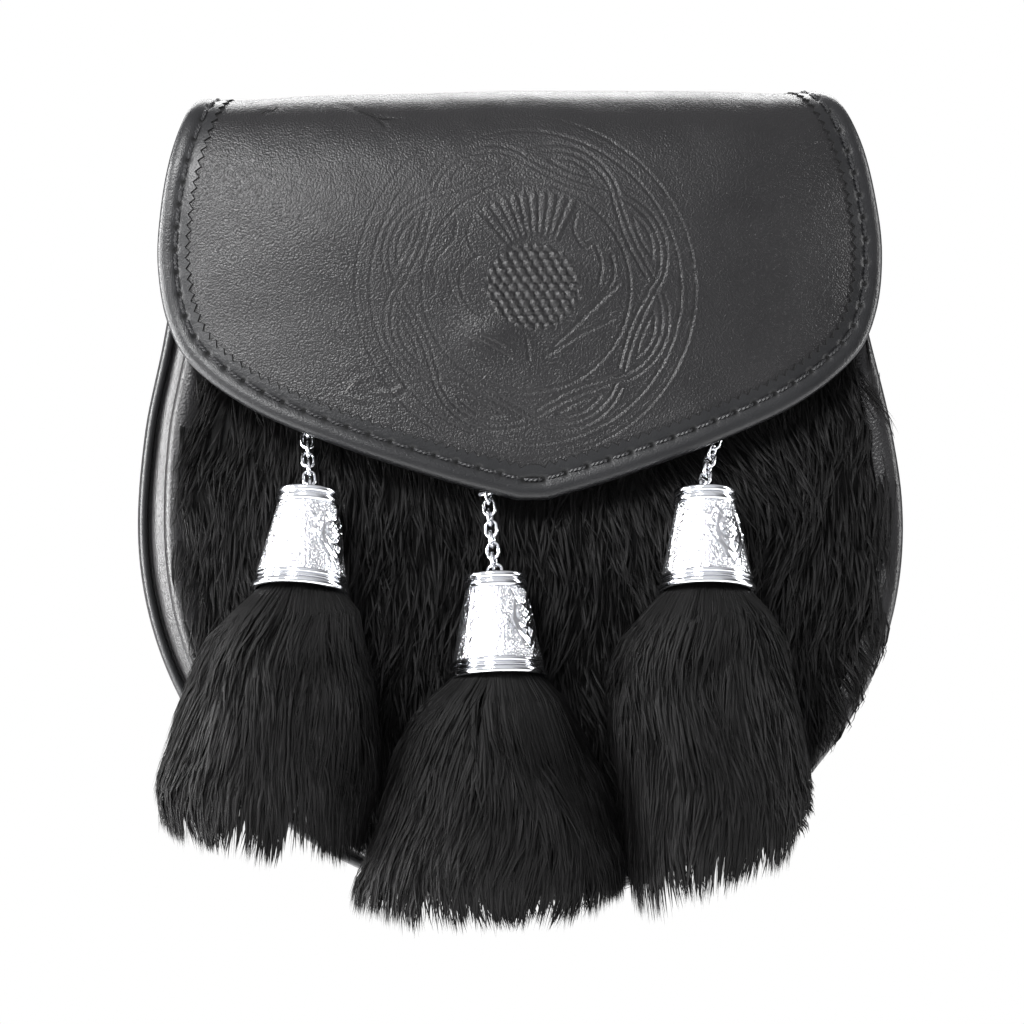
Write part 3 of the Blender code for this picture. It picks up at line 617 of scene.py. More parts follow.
def flap_middle(x, place):
    """Points in the middle of the flap's leather."""
    row = rows_at(FLAP_ROWS, place)
    side = (np.abs(x) / FLAP_SIDE) ** FLAP_CURL
    y = row[..., 0] + (row[..., 2] - row[..., 0]) * side
    return world(x, y, row[..., 1] + (row[..., 3] - row[..., 1]) * side)


def flap_slopes(x, place):
    across = (flap_middle(x + 0.1, place) - flap_middle(x - 0.1, place)) / 0.2
    down = (flap_middle(x, place + 0.01) - flap_middle(x, place - 0.01)) / 0.02
    return across, down, unit(np.cross(down, across))


def strip_height(inset):
    """Of the binding's outer face above the middle of the flap's leather: a roll, then a flat strip."""
    deep, wide = STITCH_GROOVE
    groove = deep * math.exp(-(((inset - STITCH_INSET) / wide) ** 2))
    start, over = BINDING_FALL
    return float(BINDING_HIGH - (BINDING_HIGH - BINDING_LOW) * ease((inset - start) / over)) - groove


def dot(a, b):
    return (a * b).sum(axis=-1)


def flap_inside(place, inset):
    """(x, place) of the points that lie inset in from the flap's right edge, square to it."""
    place, inset = np.broadcast_arrays(np.asarray(place, float), inset)
    x = rows_at(FLAP_ROWS, place)[..., 4]
    after = flap_middle(rows_at(FLAP_ROWS, place + 0.01)[..., 4], place + 0.01)
    before = flap_middle(rows_at(FLAP_ROWS, place - 0.01)[..., 4], place - 0.01)
    inward = unit(np.cross(flap_slopes(x, place)[2], after - before))
    inward = inward * -np.sign(inward[..., :1])
    step = inward * (inset * MM / 8)[..., None]
    for _ in range(8):
        across, down, _ = flap_slopes(x, place)
        aa, ad, dd = dot(across, across), dot(across, down), dot(down, down)
        sa, sd = dot(step, across), dot(step, down)
        size = aa * dd - ad * ad
        x = x + (sa * dd - sd * ad) / size
        place = place + (sd * aa - sa * ad) / size
    return x, place


def spread(low, high, weight):
    """Steps from low to high, closer together where the weight (steps for each unit) is greater."""
    fine = np.linspace(low, high, 4000)
    total = np.concatenate([[0], np.cumsum((weight(fine[1:]) + weight(fine[:-1])) / 2 * np.diff(fine))])
    return np.interp(np.linspace(0, total[-1], int(total[-1]) + 2), total, fine)


def mirrored_edge(half):
    """The whole way round the flap from its right half: down the left side and up the right."""
    return np.concatenate([half * (-1, 1, 1), half[::-1]])


def along(points):
    """Distance from the first point to each."""
    return np.concatenate([[0], np.cumsum(np.linalg.norm(np.diff(points, axis=0), axis=1))])


# Modelling


def nothing_selected():
    if bpy.context.mode != "OBJECT":
        bpy.ops.object.mode_set(mode="OBJECT")
    bpy.ops.object.select_all(action="DESELECT")


def only(piece):
    nothing_selected()
    piece.select_set(True)
    bpy.context.view_layer.objects.active = piece


def with_attributes(piece, values):
    for name, value in values.items():
        layer = piece.data.attributes.new(name, "FLOAT", "POINT")
        layer.data.foreach_set("value", np.ascontiguousarray(value, np.float32).ravel())


def outward(piece):
    """Turns all its faces outwards."""
    only(piece)
    bpy.ops.object.mode_set(mode="EDIT")
    bpy.ops.mesh.select_all(action="SELECT")
    bpy.ops.mesh.normals_make_consistent(inside=False)
    bpy.ops.object.mode_set(mode="OBJECT")


def built(name, points, faces, edges=()):
    """A new piece of these points, faces and edges."""
    mesh = bpy.data.meshes.new(name)
    mesh.from_pydata(points, edges, faces)
    piece = bpy.data.objects.new(name, mesh)
    bpy.context.scene.collection.objects.link(piece)
    return piece


def laid_grid(name, points, round_way=False, filled=False, **values):
    """A grid whose crossings are laid on points, rows by columns. Its two sides are joined where it
    goes all the way round, and its open ends are filled."""
    rows, columns = points.shape[:2]
    nothing_selected()
    bpy.ops.mesh.primitive_grid_add(x_subdivisions=columns - 1, y_subdivisions=rows - 1, size=1.0)
    piece = bpy.context.object
    if len(piece.data.vertices) != rows * columns:
        raise RuntimeError(f"{name}: the grid has {len(piece.data.vertices)} points")
    piece.name = piece.data.name = name
    piece.data.vertices.foreach_set("co", np.ascontiguousarray(points, np.float32).ravel())
    piece.data.update()
    with_attributes(piece, values)
    bpy.ops.object.mode_set(mode="EDIT")
    bpy.ops.mesh.select_all(action="SELECT")
    if round_way:
        bpy.ops.mesh.remove_doubles(threshold=1e-6)
    if filled:
        bpy.ops.mesh.fill_holes(sides=0)
        bpy.ops.mesh.select_all(action="SELECT")
    bpy.ops.mesh.normals_make_consistent(inside=False)
    bpy.ops.object.mode_set(mode="OBJECT")
    return piece


def around(section):
    """The section with its first point again at its end."""
    return np.concatenate([section, section[:, :1]], axis=1)


def domed(name, edge, shares, back, face):
    """A sheet inside an edge that follows the front panel's dome, with its two faces at these
    distances behind the panel's outer face."""
    rings = []
    for behind, ordered in ((back, shares), (face, shares[::-1])):
        for share in ordered:
            line = drawn_in(edge, share)
            rings.append(world(line[:, 0], front_y(line[:, 0], line[:, 1]) + behind, line[:, 1]))
    return laid_grid(name, around(np.stack(rings)), round_way=True, filled=True)


def tube(name, line, radius, sides=12, up=(0.0, 1.0, 0.0)):
    """A round wire or cord along points."""
    ahead = unit(np.gradient(line, axis=0))
    first = unit(np.cross(ahead, np.array(up) + np.zeros_like(line)))
    second = np.cross(ahead, first)
    turn = (math.tau * np.arange(sides) / sides)[None, :, None]
    rings = line[:, None] + (first[:, None] * np.cos(turn) + second[:, None] * np.sin(turn)) * radius
    return laid_grid(name, around(rings), round_way=True, filled=True)


def joined(pieces, name):
    """One piece of several."""
    nothing_selected()
    for piece in pieces:
        piece.select_set(True)
    bpy.context.view_layer.objects.active = pieces[0]
    bpy.ops.object.join()
    pieces[0].name = pieces[0].data.name = name
    return pieces[0]


def thickened(piece, thickness, bevel=0.0):
    """Gives a laid sheet its wall, the same both ways, with eased edges."""
    only(piece)
    wall = piece.modifiers.new("Thickness", "SOLIDIFY")
    wall.thickness = thickness * MM
    wall.offset = 0.0
    wall.use_even_offset = True
    bpy.ops.object.modifier_apply(modifier=wall.name)
    if bevel:
        edge = piece.modifiers.new("Edge", "BEVEL")
        edge.width = bevel * MM
        edge.segments = 2
        edge.limit_method = "ANGLE"
        edge.angle_limit = math.radians(60)
        bpy.ops.object.modifier_apply(modifier=edge.name)


def hand_in(piece, finish, replaced=(), angle=38):
    """Finishes a piece: its material, smoothing, the body it rides on and what it stands for."""
    if finish is not None:
        piece.data.materials.clear()
        piece.data.materials.append(finish)
    only(piece)
    bpy.ops.object.shade_smooth_by_angle(angle=math.radians(angle))
    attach(piece, "root")
    if replaced:
        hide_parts(*replaced)
    nothing_selected()
    return piece


def zipped(a, b, at_a, at_b):
    """Triangles between two rows of vertices that lie at these places along the row."""
    faces, i, j = [], 0, 0
    while i < len(a) - 1 or j < len(b) - 1:
        if j == len(b) - 1 or (i < len(a) - 1 and at_a[i + 1] <= at_b[j + 1]):
            faces.append((a[i], b[j], a[i + 1]))
            i += 1
        else:
            faces.append((a[i], b[j], b[j + 1]))
            j += 1
    return faces


def two_faced(name, outer, inner, outer_at, inner_at):
    """A closed sheet of a fine outer face and a coarse inner one, sewn together round the edge.
    The inner face and the edge are in the second material slot."""
    ids, next_id = [], 0
    for face in (outer, inner):
        rows, columns = face.shape[:2]
        ids.append(next_id + np.arange(rows * columns).reshape(rows, columns))
        next_id += rows * columns
    quads = []
    for grid in ids:
        quad = np.stack([grid[:-1, :-1], grid[:-1, 1:], grid[1:, 1:], grid[1:, :-1]], axis=-1)
        quads.append(quad.reshape(-1, 4))
    front = len(quads[0])
    big, small = ids
    faces = quads[0].tolist() + quads[1][:, ::-1].tolist()
    for side in (0, -1):
        faces += zipped(big[side], small[side], outer_at[1], inner_at[1])
        faces += zipped(big[:, side], small[:, side], outer_at[0], inner_at[0])
    points = np.concatenate([outer.reshape(-1, 3), inner.reshape(-1, 3)])
    piece = built(name, points.tolist(), faces)
    outward(piece)
    slots = np.ones(len(faces), np.int32)
    slots[:front] = 0
    return piece, slots


def hairs(name, points, width, flat, out, tone, finish, maker):
    """Closed three-sided hairs in one mesh, each from its root along its points to a fine tip. A wisp
    of many hairs is one wide and flat strand: it has its streaks from how far across it a point is."""
    count, steps = points.shape[:2]
    ahead = unit(np.gradient(points, axis=1))
    side = unit(np.cross(ahead, out))
    face = np.cross(side, ahead)
    share = np.linspace(0, 1, steps)
    swell = np.interp(share, (0, 0.25, 0.6, 0.85, 1), (0.7, 1.0, 0.85, 0.5, 0.1))
    radius = width[:, None] / 2 * swell
    rings, level, level_across = [], np.concatenate([np.repeat(share[:-1], 3), [1.0]]), []
    for corner_side, corner_face in ((-0.96, -0.3), (0.0, 1.0), (0.96, -0.3)):
        reach = side * corner_side + face * (corner_face * flat)[:, None, None]
        rings.append((points + reach * radius[..., None])[:, :-1])
        level_across.append(corner_side * radius[:, :-1])
    body = np.stack(rings, axis=2).reshape(count, -1, 3)
    body = np.concatenate([body, points[:, -1:]], axis=1)
    across = np.stack(level_across, axis=2).reshape(count, -1)
    across = np.concatenate([across, np.zeros((count, 1))], axis=1) / MM
    across = across + maker.uniform(0, 400, count)[:, None]
    each = body.shape[1]
    faces = [(0, 2, 1)]
    for ring in range(steps - 2):
        for a in range(3):
            b = (a + 1) % 3
            low, high = 3 * ring, 3 * ring + 3
            faces += [(low + a, low + b, high + b), (low + a, high + b, high + a)]
    last = 3 * (steps - 2)
    faces += [(last + a, last + (a + 1) % 3, each - 1) for a in range(3)]
    faces = np.array(faces)
    corners = body[0][faces]
    if np.linalg.det(corners - body[0].mean(axis=0)).sum() < 0:
        faces = faces[:, ::-1]
    faces = (faces[None] + each * np.arange(count)[:, None, None]).reshape(-1, 3)
    piece = built(name, body.reshape(-1, 3).tolist(), faces.tolist())
    with_attributes(piece, {"tone": np.repeat(tone, each), "tip": np.tile(level, count), "across": across})
    return hand_in(piece, finish, angle=80)


def wisps_and_hairs(sizes, count, share, maker):
    """Width and flatness of each strand: the first ones are wisps, the others single hairs."""
    wisp = np.arange(count) < count * share
    wide, fine = sizes.wisp * maker.uniform(0.55, 1.3, count), sizes.hair * maker.uniform(0.7, 1.4, count)
    width = np.where(wisp, wide, fine)
    return width, np.where(wisp, 0.34, 0.9)


# Finishes


def node(tree, kind, sockets, **settings):
    made = tree.nodes.new("ShaderNode" + kind)
    for key, value in settings.items():
        setattr(made, key, value)
    for key, value in sockets.items():
        if isinstance(value, bpy.types.NodeSocket):
            tree.links.new(value, made.inputs[key])
        else:
            made.inputs[key].default_value = value
    return made.outputs[0]


def shades(tree, share, low, high):
    """A colour between two."""
    mix = tree.nodes.new("ShaderNodeMix")
    mix.data_type = "RGBA"
    tree.links.new(share, mix.inputs[0])
    for socket, colour in ((mix.inputs[6], low), (mix.inputs[7], high)):
        if isinstance(colour, bpy.types.NodeSocket):
            tree.links.new(colour, socket)
        else:
            socket.default_value = (*colour, 1.0)
    return mix.outputs[2]


def maths(tree, kind, a, b, c=0.0):
    made = tree.nodes.new("ShaderNodeMath")
    made.operation = kind
    for socket, value in zip(made.inputs, (a, b, c)):
        if isinstance(value, bpy.types.NodeSocket):
            tree.links.new(value, socket)
        else:
            socket.default_value = value
    return made.outputs[0]


def scaled_range(tree, value, low, high, start=0.0, end=1.0):
    return node(tree, "MapRange", {0: value, 1: start, 2: end, 3: low, 4: high})


def blank(name):
    made = bpy.data.materials.new(name)
    made.use_nodes = True
    return made, made.node_tree, made.node_tree.nodes["Principled BSDF"]


def places(tree):
    return node_of(tree, "TexCoord").outputs["Object"]


def node_of(tree, kind):
    return tree.nodes.new("ShaderNode" + kind)


def attribute(tree, name):
    made = node_of(tree, "Attribute")
    made.attribute_name = name
    return made.outputs["Fac"]


def tinted(colour, share):
    return tuple(part * share for part in colour)


def leather(name, colour, roughness, grain, depth, holed=False):
    """Pebbled leather: grain in its bump, changes of tone over the hide, and, where asked, painted shade that
    darkens the stitch holes and the pinked cut edge.
    """
    made, tree, shader = blank(name)
    where = places(tree)
    stir = node(tree, "TexNoise", {"Vector": where, "Scale": 0.4 / grain, "Detail": 1.0})
    pebbles = node(tree, "TexVoronoi", {"Vector": where, "Scale": 1 / grain})
    fibres = node(tree, "TexNoise", {"Vector": where, "Scale": 1.4 / grain, "Detail": 1.5, "Roughness": 0.6})
    hide = node(tree, "TexNoise", {"Vector": where, "Scale": 38.0, "Detail": 4.0, "Roughness": 0.6})
    height = maths(tree, "MULTIPLY_ADD", pebbles, -1.0, fibres)
    height = maths(tree, "MULTIPLY_ADD", stir, 0.35, height)
    tone = shades(tree, hide, tinted(colour, 0.72), tinted(colour, 1.3))
    rough = scaled_range(tree, hide, roughness - 0.05, roughness + 0.07, 0.3, 0.7)
    if holed:
        # Painted shade: where the dark attribute is 1 the colour falls almost to black, for the shade in the
        # stitch holes and the shadow line under the pinked edge
        dark = attribute(tree, "dark")
        tone = shades(tree, dark, tone, tinted(colour, 0.05))
        rough = maths(tree, "MULTIPLY_ADD", dark, 1.0 - roughness, rough)
    tree.links.new(tone, shader.inputs["Base Color"])
    tree.links.new(rough, shader.inputs["Roughness"])
    bump = node(tree, "Bump", {"Strength": 1.0, "Distance": depth, "Height": height})
    tree.links.new(bump, shader.inputs["Normal"])
    shader.inputs["Specular IOR Level"].default_value = 0.45
    return made


def suede(name, colour):
    """The leather's flesh side, with its short nap."""
    made, tree, shader = blank(name)
    where = places(tree)
    nap = node(tree, "TexNoise", {"Vector": where, "Scale": 2600.0, "Detail": 3.0})
    cloud = node(tree, "TexNoise", {"Vector": where, "Scale": 70.0, "Detail": 3.0})
    clouded = shades(tree, cloud, tinted(colour, 0.7), tinted(colour, 1.35))
    tree.links.new(clouded, shader.inputs["Base Color"])
    bump = node(tree, "Bump", {"Strength": 0.8, "Distance": 0.0002, "Height": nap})
    tree.links.new(bump, shader.inputs["Normal"])
    shader.inputs["Roughness"].default_value = 0.92
    shader.inputs["Sheen Weight"].default_value = 0.15
    return made


def waxed_thread(name, colour):
    made, tree, shader = blank(name)
    fibre = node(tree, "TexNoise", {"Vector": places(tree), "Scale": 3800.0, "Detail": 2.0})
    tree.links.new(shades(tree, fibre, tinted(colour, 0.6), tinted(colour, 1.6)), shader.inputs["Base Color"])
    bump = node(tree, "Bump", {"Strength": 0.5, "Distance": 0.0001, "Height": fibre})
    tree.links.new(bump, shader.inputs["Normal"])
    shader.inputs["Roughness"].default_value = 0.42
    return made


def fur(name, dark, light):
    """Fine hair: darker at the roots, each hair its own tone (on the tassels with painted shade near the
    cones' mouths), and streaks of hairs across a wisp that are partly their own tone and partly painted
    highlight and shade.
    """
    made, tree, shader = blank(name)
    tip = attribute(tree, "tip")
    crosswise = maths(tree, "MULTIPLY", attribute(tree, "across"), 4.6)
    run = node(tree, "CombineXYZ", {0: crosswise, 1: maths(tree, "MULTIPLY", tip, 2.2)})
    streak_and_painted_light = node(tree, "TexNoise", {"Vector": run, "Scale": 1.0, "Detail": 2.5, "Roughness": 0.62})
    cloud = node(tree, "TexNoise", {"Vector": places(tree), "Scale": 120.0, "Detail": 3.0})
    lit = maths(tree, "MULTIPLY", attribute(tree, "tone"), scaled_range(tree, tip, 0.58, 1.0))
    lit = maths(tree, "MULTIPLY_ADD", cloud, 0.08, lit)
    # Painted highlight and shade: the streaks lighten and darken the colour across a wisp, for light along
    # single hairs and shade between them as well as their own tone
    lit = maths(tree, "MULTIPLY", lit, scaled_range(tree, streak_and_painted_light, 0.05, 2.3, 0.32, 0.68))
    tree.links.new(shades(tree, lit, dark, light), shader.inputs["Base Color"])
    tree.links.new(scaled_range(tree, streak_and_painted_light, 0.62, 0.40, 0.3, 0.7), shader.inputs["Roughness"])
    bump = node(tree, "Bump", {"Strength": 0.9, "Distance": 0.00018, "Height": streak_and_painted_light})
    tree.links.new(bump, shader.inputs["Normal"])
    shader.inputs["Specular IOR Level"].default_value = 0.13
    return made


def chrome(name, colour, pebbled=False):
    """Plated metal, finely pebbled where the casting was left so."""
    made, tree, shader = blank(name)
    where = places(tree)
    cloud = node(tree, "TexNoise", {"Vector": where, "Scale": 160.0, "Detail": 3.0})
    tree.links.new(shades(tree, cloud, tinted(colour, 0.93), colour), shader.inputs["Base Color"])
    rough = scaled_range(tree, cloud, 0.09, 0.16, 0.3, 0.7)
    if pebbled:
        rough = maths(tree, "MULTIPLY_ADD", attribute(tree, "pebble"), 0.12, rough)
    tree.links.new(rough, shader.inputs["Roughness"])
    shader.inputs["Metallic"].default_value = 1.0
    height = node(tree, "TexNoise", {"Vector": where, "Scale": 900.0, "Detail": 1.0})
    strength = 0.06
    if pebbled:
        height = node(tree, "TexNoise", {"Vector": where, "Scale": 1700.0, "Detail": 1.0})
        strength = maths(tree, "MULTIPLY_ADD", attribute(tree, "pebble"), 0.85, 0.02)
    bump = node(tree, "Bump", {"Strength": strength, "Distance": 0.00045, "Height": height})
    tree.links.new(bump, shader.inputs["Normal"])
    return made


def finish_named(name, maker, *values, **settings):
    """A finish, made the first time that it is asked for."""
    return bpy.data.materials.get(name) or maker(name, *values, **settings)


def grained(context):
    colours, sizes = context.scene.sporran_colours, context.scene.sporran_sizes
    return finish_named("Grained_leather", leather, colours.leather, 0.38, sizes.grain * 1.3, 0.00008)


def smooth_leather(context):
    colours, sizes = context.scene.sporran_colours, context.scene.sporran_sizes
    # Its colour carries painted shade in the stitch holes and along the pinked edge
    return finish_named("Binding_leather", leather, colours.binding, 0.34, sizes.grain, 0.00004, holed=True)


def flesh_side(context):
    return finish_named("Flesh_side", suede, context.scene.sporran_colours.suede)


def thread(context):
    return finish_named("Waxed_thread", waxed_thread, context.scene.sporran_colours.thread)


def hair(context):
    colours = context.scene.sporran_colours
    return finish_named("Dyed_fur", fur, colours.hair_dark, colours.hair_light)


def plated(context):
    return finish_named("Chrome", chrome, context.scene.sporran_colours.chrome)


# Stitches


def stitch_row(name, line, out, pitch, length, ply, finish, lift=0.25):
    """A row of stitches of two twisted plies along a line, each with its ends sunk into the leather."""
    distance = along(line)
    count = int((distance[-1] - length) / pitch) + 1
    start = (distance[-1] - (count - 1) * pitch - length) / 2
    steps, sides = 11, 5
    share = np.linspace(0, 1, steps)
    at = start + np.arange(count)[:, None] * pitch + share[None] * length
    middle = np.stack([np.interp(at, distance, line[:, k]) for k in range(3)], axis=-1)
    up = unit(np.stack([np.interp(at, distance, out[:, k]) for k in range(3)], axis=-1))
    ahead = unit(np.gradient(middle, axis=1))
    across = np.cross(ahead, up)
    arch = (np.sin(np.pi * share) ** 0.6 - 0.55)[None, :, None] * lift * MM * 1.6
    middle = middle + up * arch
    pieces = []
    for half in (0, 1):
        turn = (share * math.tau * PLY_TURNS + math.pi * half)[None, :, None]
        wound = middle + (up * np.sin(turn) + across * np.cos(turn)) * ply * 0.62
        ring = []
        for side in range(sides + 1):
            angle = math.tau * side / sides
            ring.append(wound + (up * math.sin(angle) + across * math.cos(angle)) * ply)
        pieces.append(np.stack(ring, axis=2))
    points = np.concatenate(pieces)
    vertices, faces = [], []
    each = steps * sides
    for one in range(points.shape[0]):
        vertices.append(points[one, :, :sides].reshape(-1, 3))
        base = one * each
        for i in range(steps - 1):
            for j in range(sides):
                k = (j + 1) % sides
                near, far = base + i * sides, base + (i + 1) * sides
                faces.append([near + j, near + k, far + k, far + j])
        faces.append([base + j for j in range(sides)])
        faces.append([base + (steps - 1) * sides + j for j in range(sides)])
    piece = built(name, np.concatenate(vertices).tolist(), faces)
    outward(piece)
    return hand_in(piece, finish, angle=60)


# Pieces


class SPORRAN_OT_stage(bpy.types.Operator):
    """Pale floor, soft studio light, surroundings for the chrome, and the camera"""

    bl_idname = "sporran.stage"
    bl_label = "Stage"

    def execute(self, context):
        nothing_selected()
        bpy.ops.mesh.primitive_circle_add(
            vertices=96, radius=FLOOR_RADIUS, fill_type="NGON", location=(0, 0, -FLOOR_DROP)
        )
        floor = bpy.context.object
        floor.name = "Floor"
        made, tree, shader = blank("Floor")
        speck = node(tree, "TexNoise", {"Vector": places(tree), "Scale": 30.0})
        pale = tuple(context.scene.sporran_colours.floor)
        tree.links.new(shades(tree, speck, tinted(pale, 0.99), pale), shader.inputs["Base Color"])
        shader.inputs["Roughness"].default_value = 0.8
        shader.inputs["Emission Color"].default_value = (1, 1, 1, 1)
        shader.inputs["Emission Strength"].default_value = 0.25
        floor.data.materials.append(made)
        surroundings(context)
        for name, settings in LAMPS.items():
            lamp(name, *settings)
        camera(context)
        return {"FINISHED"}


def lamp(name, place, aim, wide, tall, power):
    """A soft box at a place, turned to face its aim."""
    bpy.ops.object.light_add(type="AREA", location=place)
    light = bpy.context.object
    light.name = name
    light.rotation_mode = "QUATERNION"
    light.rotation_quaternion = (Vector(aim) - Vector(place)).to_track_quat("-Z", "Y")
    light.data.shape = "RECTANGLE"
    light.data.size = wide
    light.data.size_y = tall
    light.data.energy = power


def surroundings(context):
    """White behind the object, and for the reflections a studio that is bright at the front left and
    above, and dim at the front right and behind."""
    scene = context.scene
    scene.world = scene.world or bpy.data.worlds.new("World")
    scene.world.use_nodes = True
    tree = scene.world.node_tree
    tree.nodes.clear()
    way = node_of(tree, "TexCoord").outputs["Generated"]
    split = node_of(tree, "SeparateXYZ")
    tree.links.new(way, split.inputs[0])
    turn = maths(tree, "ARCTAN2", split.outputs[0], maths(tree, "MULTIPLY", split.outputs[1], -1.0))
    around_us = node_of(tree, "ValToRGB")
    tree.links.new(scaled_range(tree, turn, 0.0, 1.0, -math.pi, math.pi), around_us.inputs[0])
    ramp = around_us.color_ramp
    ramp.interpolation = "EASE"
    while len(ramp.elements) < len(ROUND_ABOUT):
        ramp.elements.new(0.5)
    for element, (share, light) in zip(ramp.elements, ROUND_ABOUT):
        element.position = share
        element.color = (light * 0.97, light * 0.99, light * 1.04, 1.0)
    above = scaled_range(tree, split.outputs[2], 0.05, 0.85, 0.3, 1.0)
    lit = shades(tree, above, around_us.outputs[0], OVERHEAD)
    below = scaled_range(tree, split.outputs[2], 0.0, 0.85, 0.36, -0.25)
    lit = shades(tree, below, lit, UNDERNEATH)
    dim = node(tree, "Background", {"Color": lit, "Strength": 0.93})
    white = node(tree, "Background", {"Color": (1, 1, 1, 1), "Strength": 1.0})
    mix = node_of(tree, "MixShader")
    tree.links.new(node_of(tree, "LightPath").outputs["Is Camera Ray"], mix.inputs[0])
    tree.links.new(dim, mix.inputs[1])
    tree.links.new(white, mix.inputs[2])
    tree.links.new(mix.outputs[0], node_of(tree, "OutputWorld").inputs["Surface"])
    scene.view_settings.view_transform = "Standard"
    scene.view_settings.look = "None"


def camera(context):
    """The photograph's view: from slightly left, almost level, through a long lens."""
    azimuth, elevation, roll = map(math.radians, (VIEW_AZIMUTH, VIEW_ELEVATION, VIEW_ROLL))
    level = math.cos(elevation)
    back = Vector((math.sin(azimuth) * level, -math.cos(azimuth) * level, math.sin(elevation)))
    aim = Vector(VIEW_AIM)
    bpy.ops.object.camera_add(location=aim + back * VIEW_DISTANCE)
    view = bpy.context.object
    view.name = "Camera"
    view.rotation_mode = "QUATERNION"
    rolled = Matrix.Rotation(roll, 3, "Z").to_quaternion()
    view.rotation_quaternion = (-back).to_track_quat("-Z", "Y") @ rolled
    view.data.sensor_width = FILM
    view.data.lens = FILM * VIEW_DISTANCE / VIEW_WIDTH
    view.data.clip_end = 50.0
    context.scene.camera = view


class SPORRAN_OT_pouch(bpy.types.Operator):
    """Back panel, piping, pleated gusset, front panel and its rolled border"""

    bl_idname = "sporran.pouch"
    bl_label = "Pouch body"

    def execute(self, context):
        black = grained(context)
        self.back_panel(context, black)
        line = outline(BACK_RADIUS, PIPING_INSET, 0.0, GUSSET_TOP_DROP)
        piping = tube(
            "Back_piping",
            world(line[:, 0], -BACK_THICK - SEAM_GAP - PIPING_RADIUS, line[:, 1]),
            PIPING_RADIUS * MM,
        )
        hand_in(piping, smooth_leather(context), ["back_piping"])
        self.gusset(black)
        self.front_panel(black)
        self.border(black)
        return {"FINISHED"}

    def back_panel(self, context, finish):
        line = closed_outline(BACK_RADIUS, 0.0, 0.0, BACK_TOP_DROP)
        nothing_selected()
        bpy.ops.mesh.primitive_circle_add(vertices=len(line), radius=0.1, fill_type="NGON")
        piece = bpy.context.object
        piece.name = piece.data.name = "Back_panel"
        flat = world(line[:, 0], -BACK_THICK / 2 + 0 * line[:, 0], line[:, 1])
        piece.data.vertices.foreach_set("co", flat.astype(np.float32).ravel())
        thickened(piece, BACK_THICK, EASED_EDGE)
        outward(piece)
        hand_in(piece, finish, ["back_panel"])
        seam = outline(BACK_RADIUS, BACK_SEAM_INSET, 0.0, BACK_SEAM_TOP)
        line = world(seam[:, 0], THREAD_RISE + 0 * seam[:, 0], seam[:, 1])
        stitch_row("Back_stitches", line, np.zeros_like(line) + (0, 1, 0), *BACK_STITCH, thread(context))

    def gusset(self, finish):
        share = np.linspace(0, 1, GUSSET_STEPS)[:, None]
        inset = curve_at(GUSSET_FOLD, share)
        columns = []
        for s, i in zip(share[:, 0], inset[:, 0]):
            behind = outline(BACK_RADIUS, i, 0.0, GUSSET_TOP_DROP)
            before = outline(FRONT_RADIUS, i, FRONT_SHIFT, GUSSET_TOP_DROP)
            line = behind + (before - behind) * s
            start = -BACK_THICK - 2 * SEAM_GAP
            end = -column_at(DEPTH, line[:, 1]) + BORDER_BACK + 2 * SEAM_GAP
            columns.append(world(line[:, 0], start + (end - start) * s, line[:, 1]))
        piece = laid_grid("Gusset", np.stack(columns))
        thickened(piece, GUSSET_THICK)
        hand_in(piece, finish, ["gusset"])

    def front_panel(self, finish):
        edge = closed_outline(FRONT_RADIUS, PANEL_INSET, FRONT_SHIFT, FRONT_TOP_DROP)
        piece = domed("Front_panel", edge, PANEL_SHARES, FRONT_THICK, 0.0)
        hand_in(piece, finish, ["front_panel"])

    def border(self, finish):
        roll = rows_at(BORDER_ROLL, np.linspace(0, len(BORDER_ROLL) - 1, BORDER_STEPS))
        section = np.concatenate([roll, BORDER_INSIDE])
        columns = []
        for inset, back in section:
            line = outline(FRONT_RADIUS, inset, FRONT_SHIFT, FRONT_TOP_DROP)
            columns.append(world(line[:, 0], back - column_at(DEPTH, line[:, 1]), line[:, 1]))
        rings = np.stack(columns, axis=1)
        swell = ripple(rings, 0.03, 3)[..., None] * BORDER_SWELL
        rings = rings + swell * (np.arange(len(section)) < BORDER_LOOSE)[None, :, None]
        piece = laid_grid("Front_border", around(rings), round_way=True, filled=True)
        hand_in(piece, finish, ["front_border"])


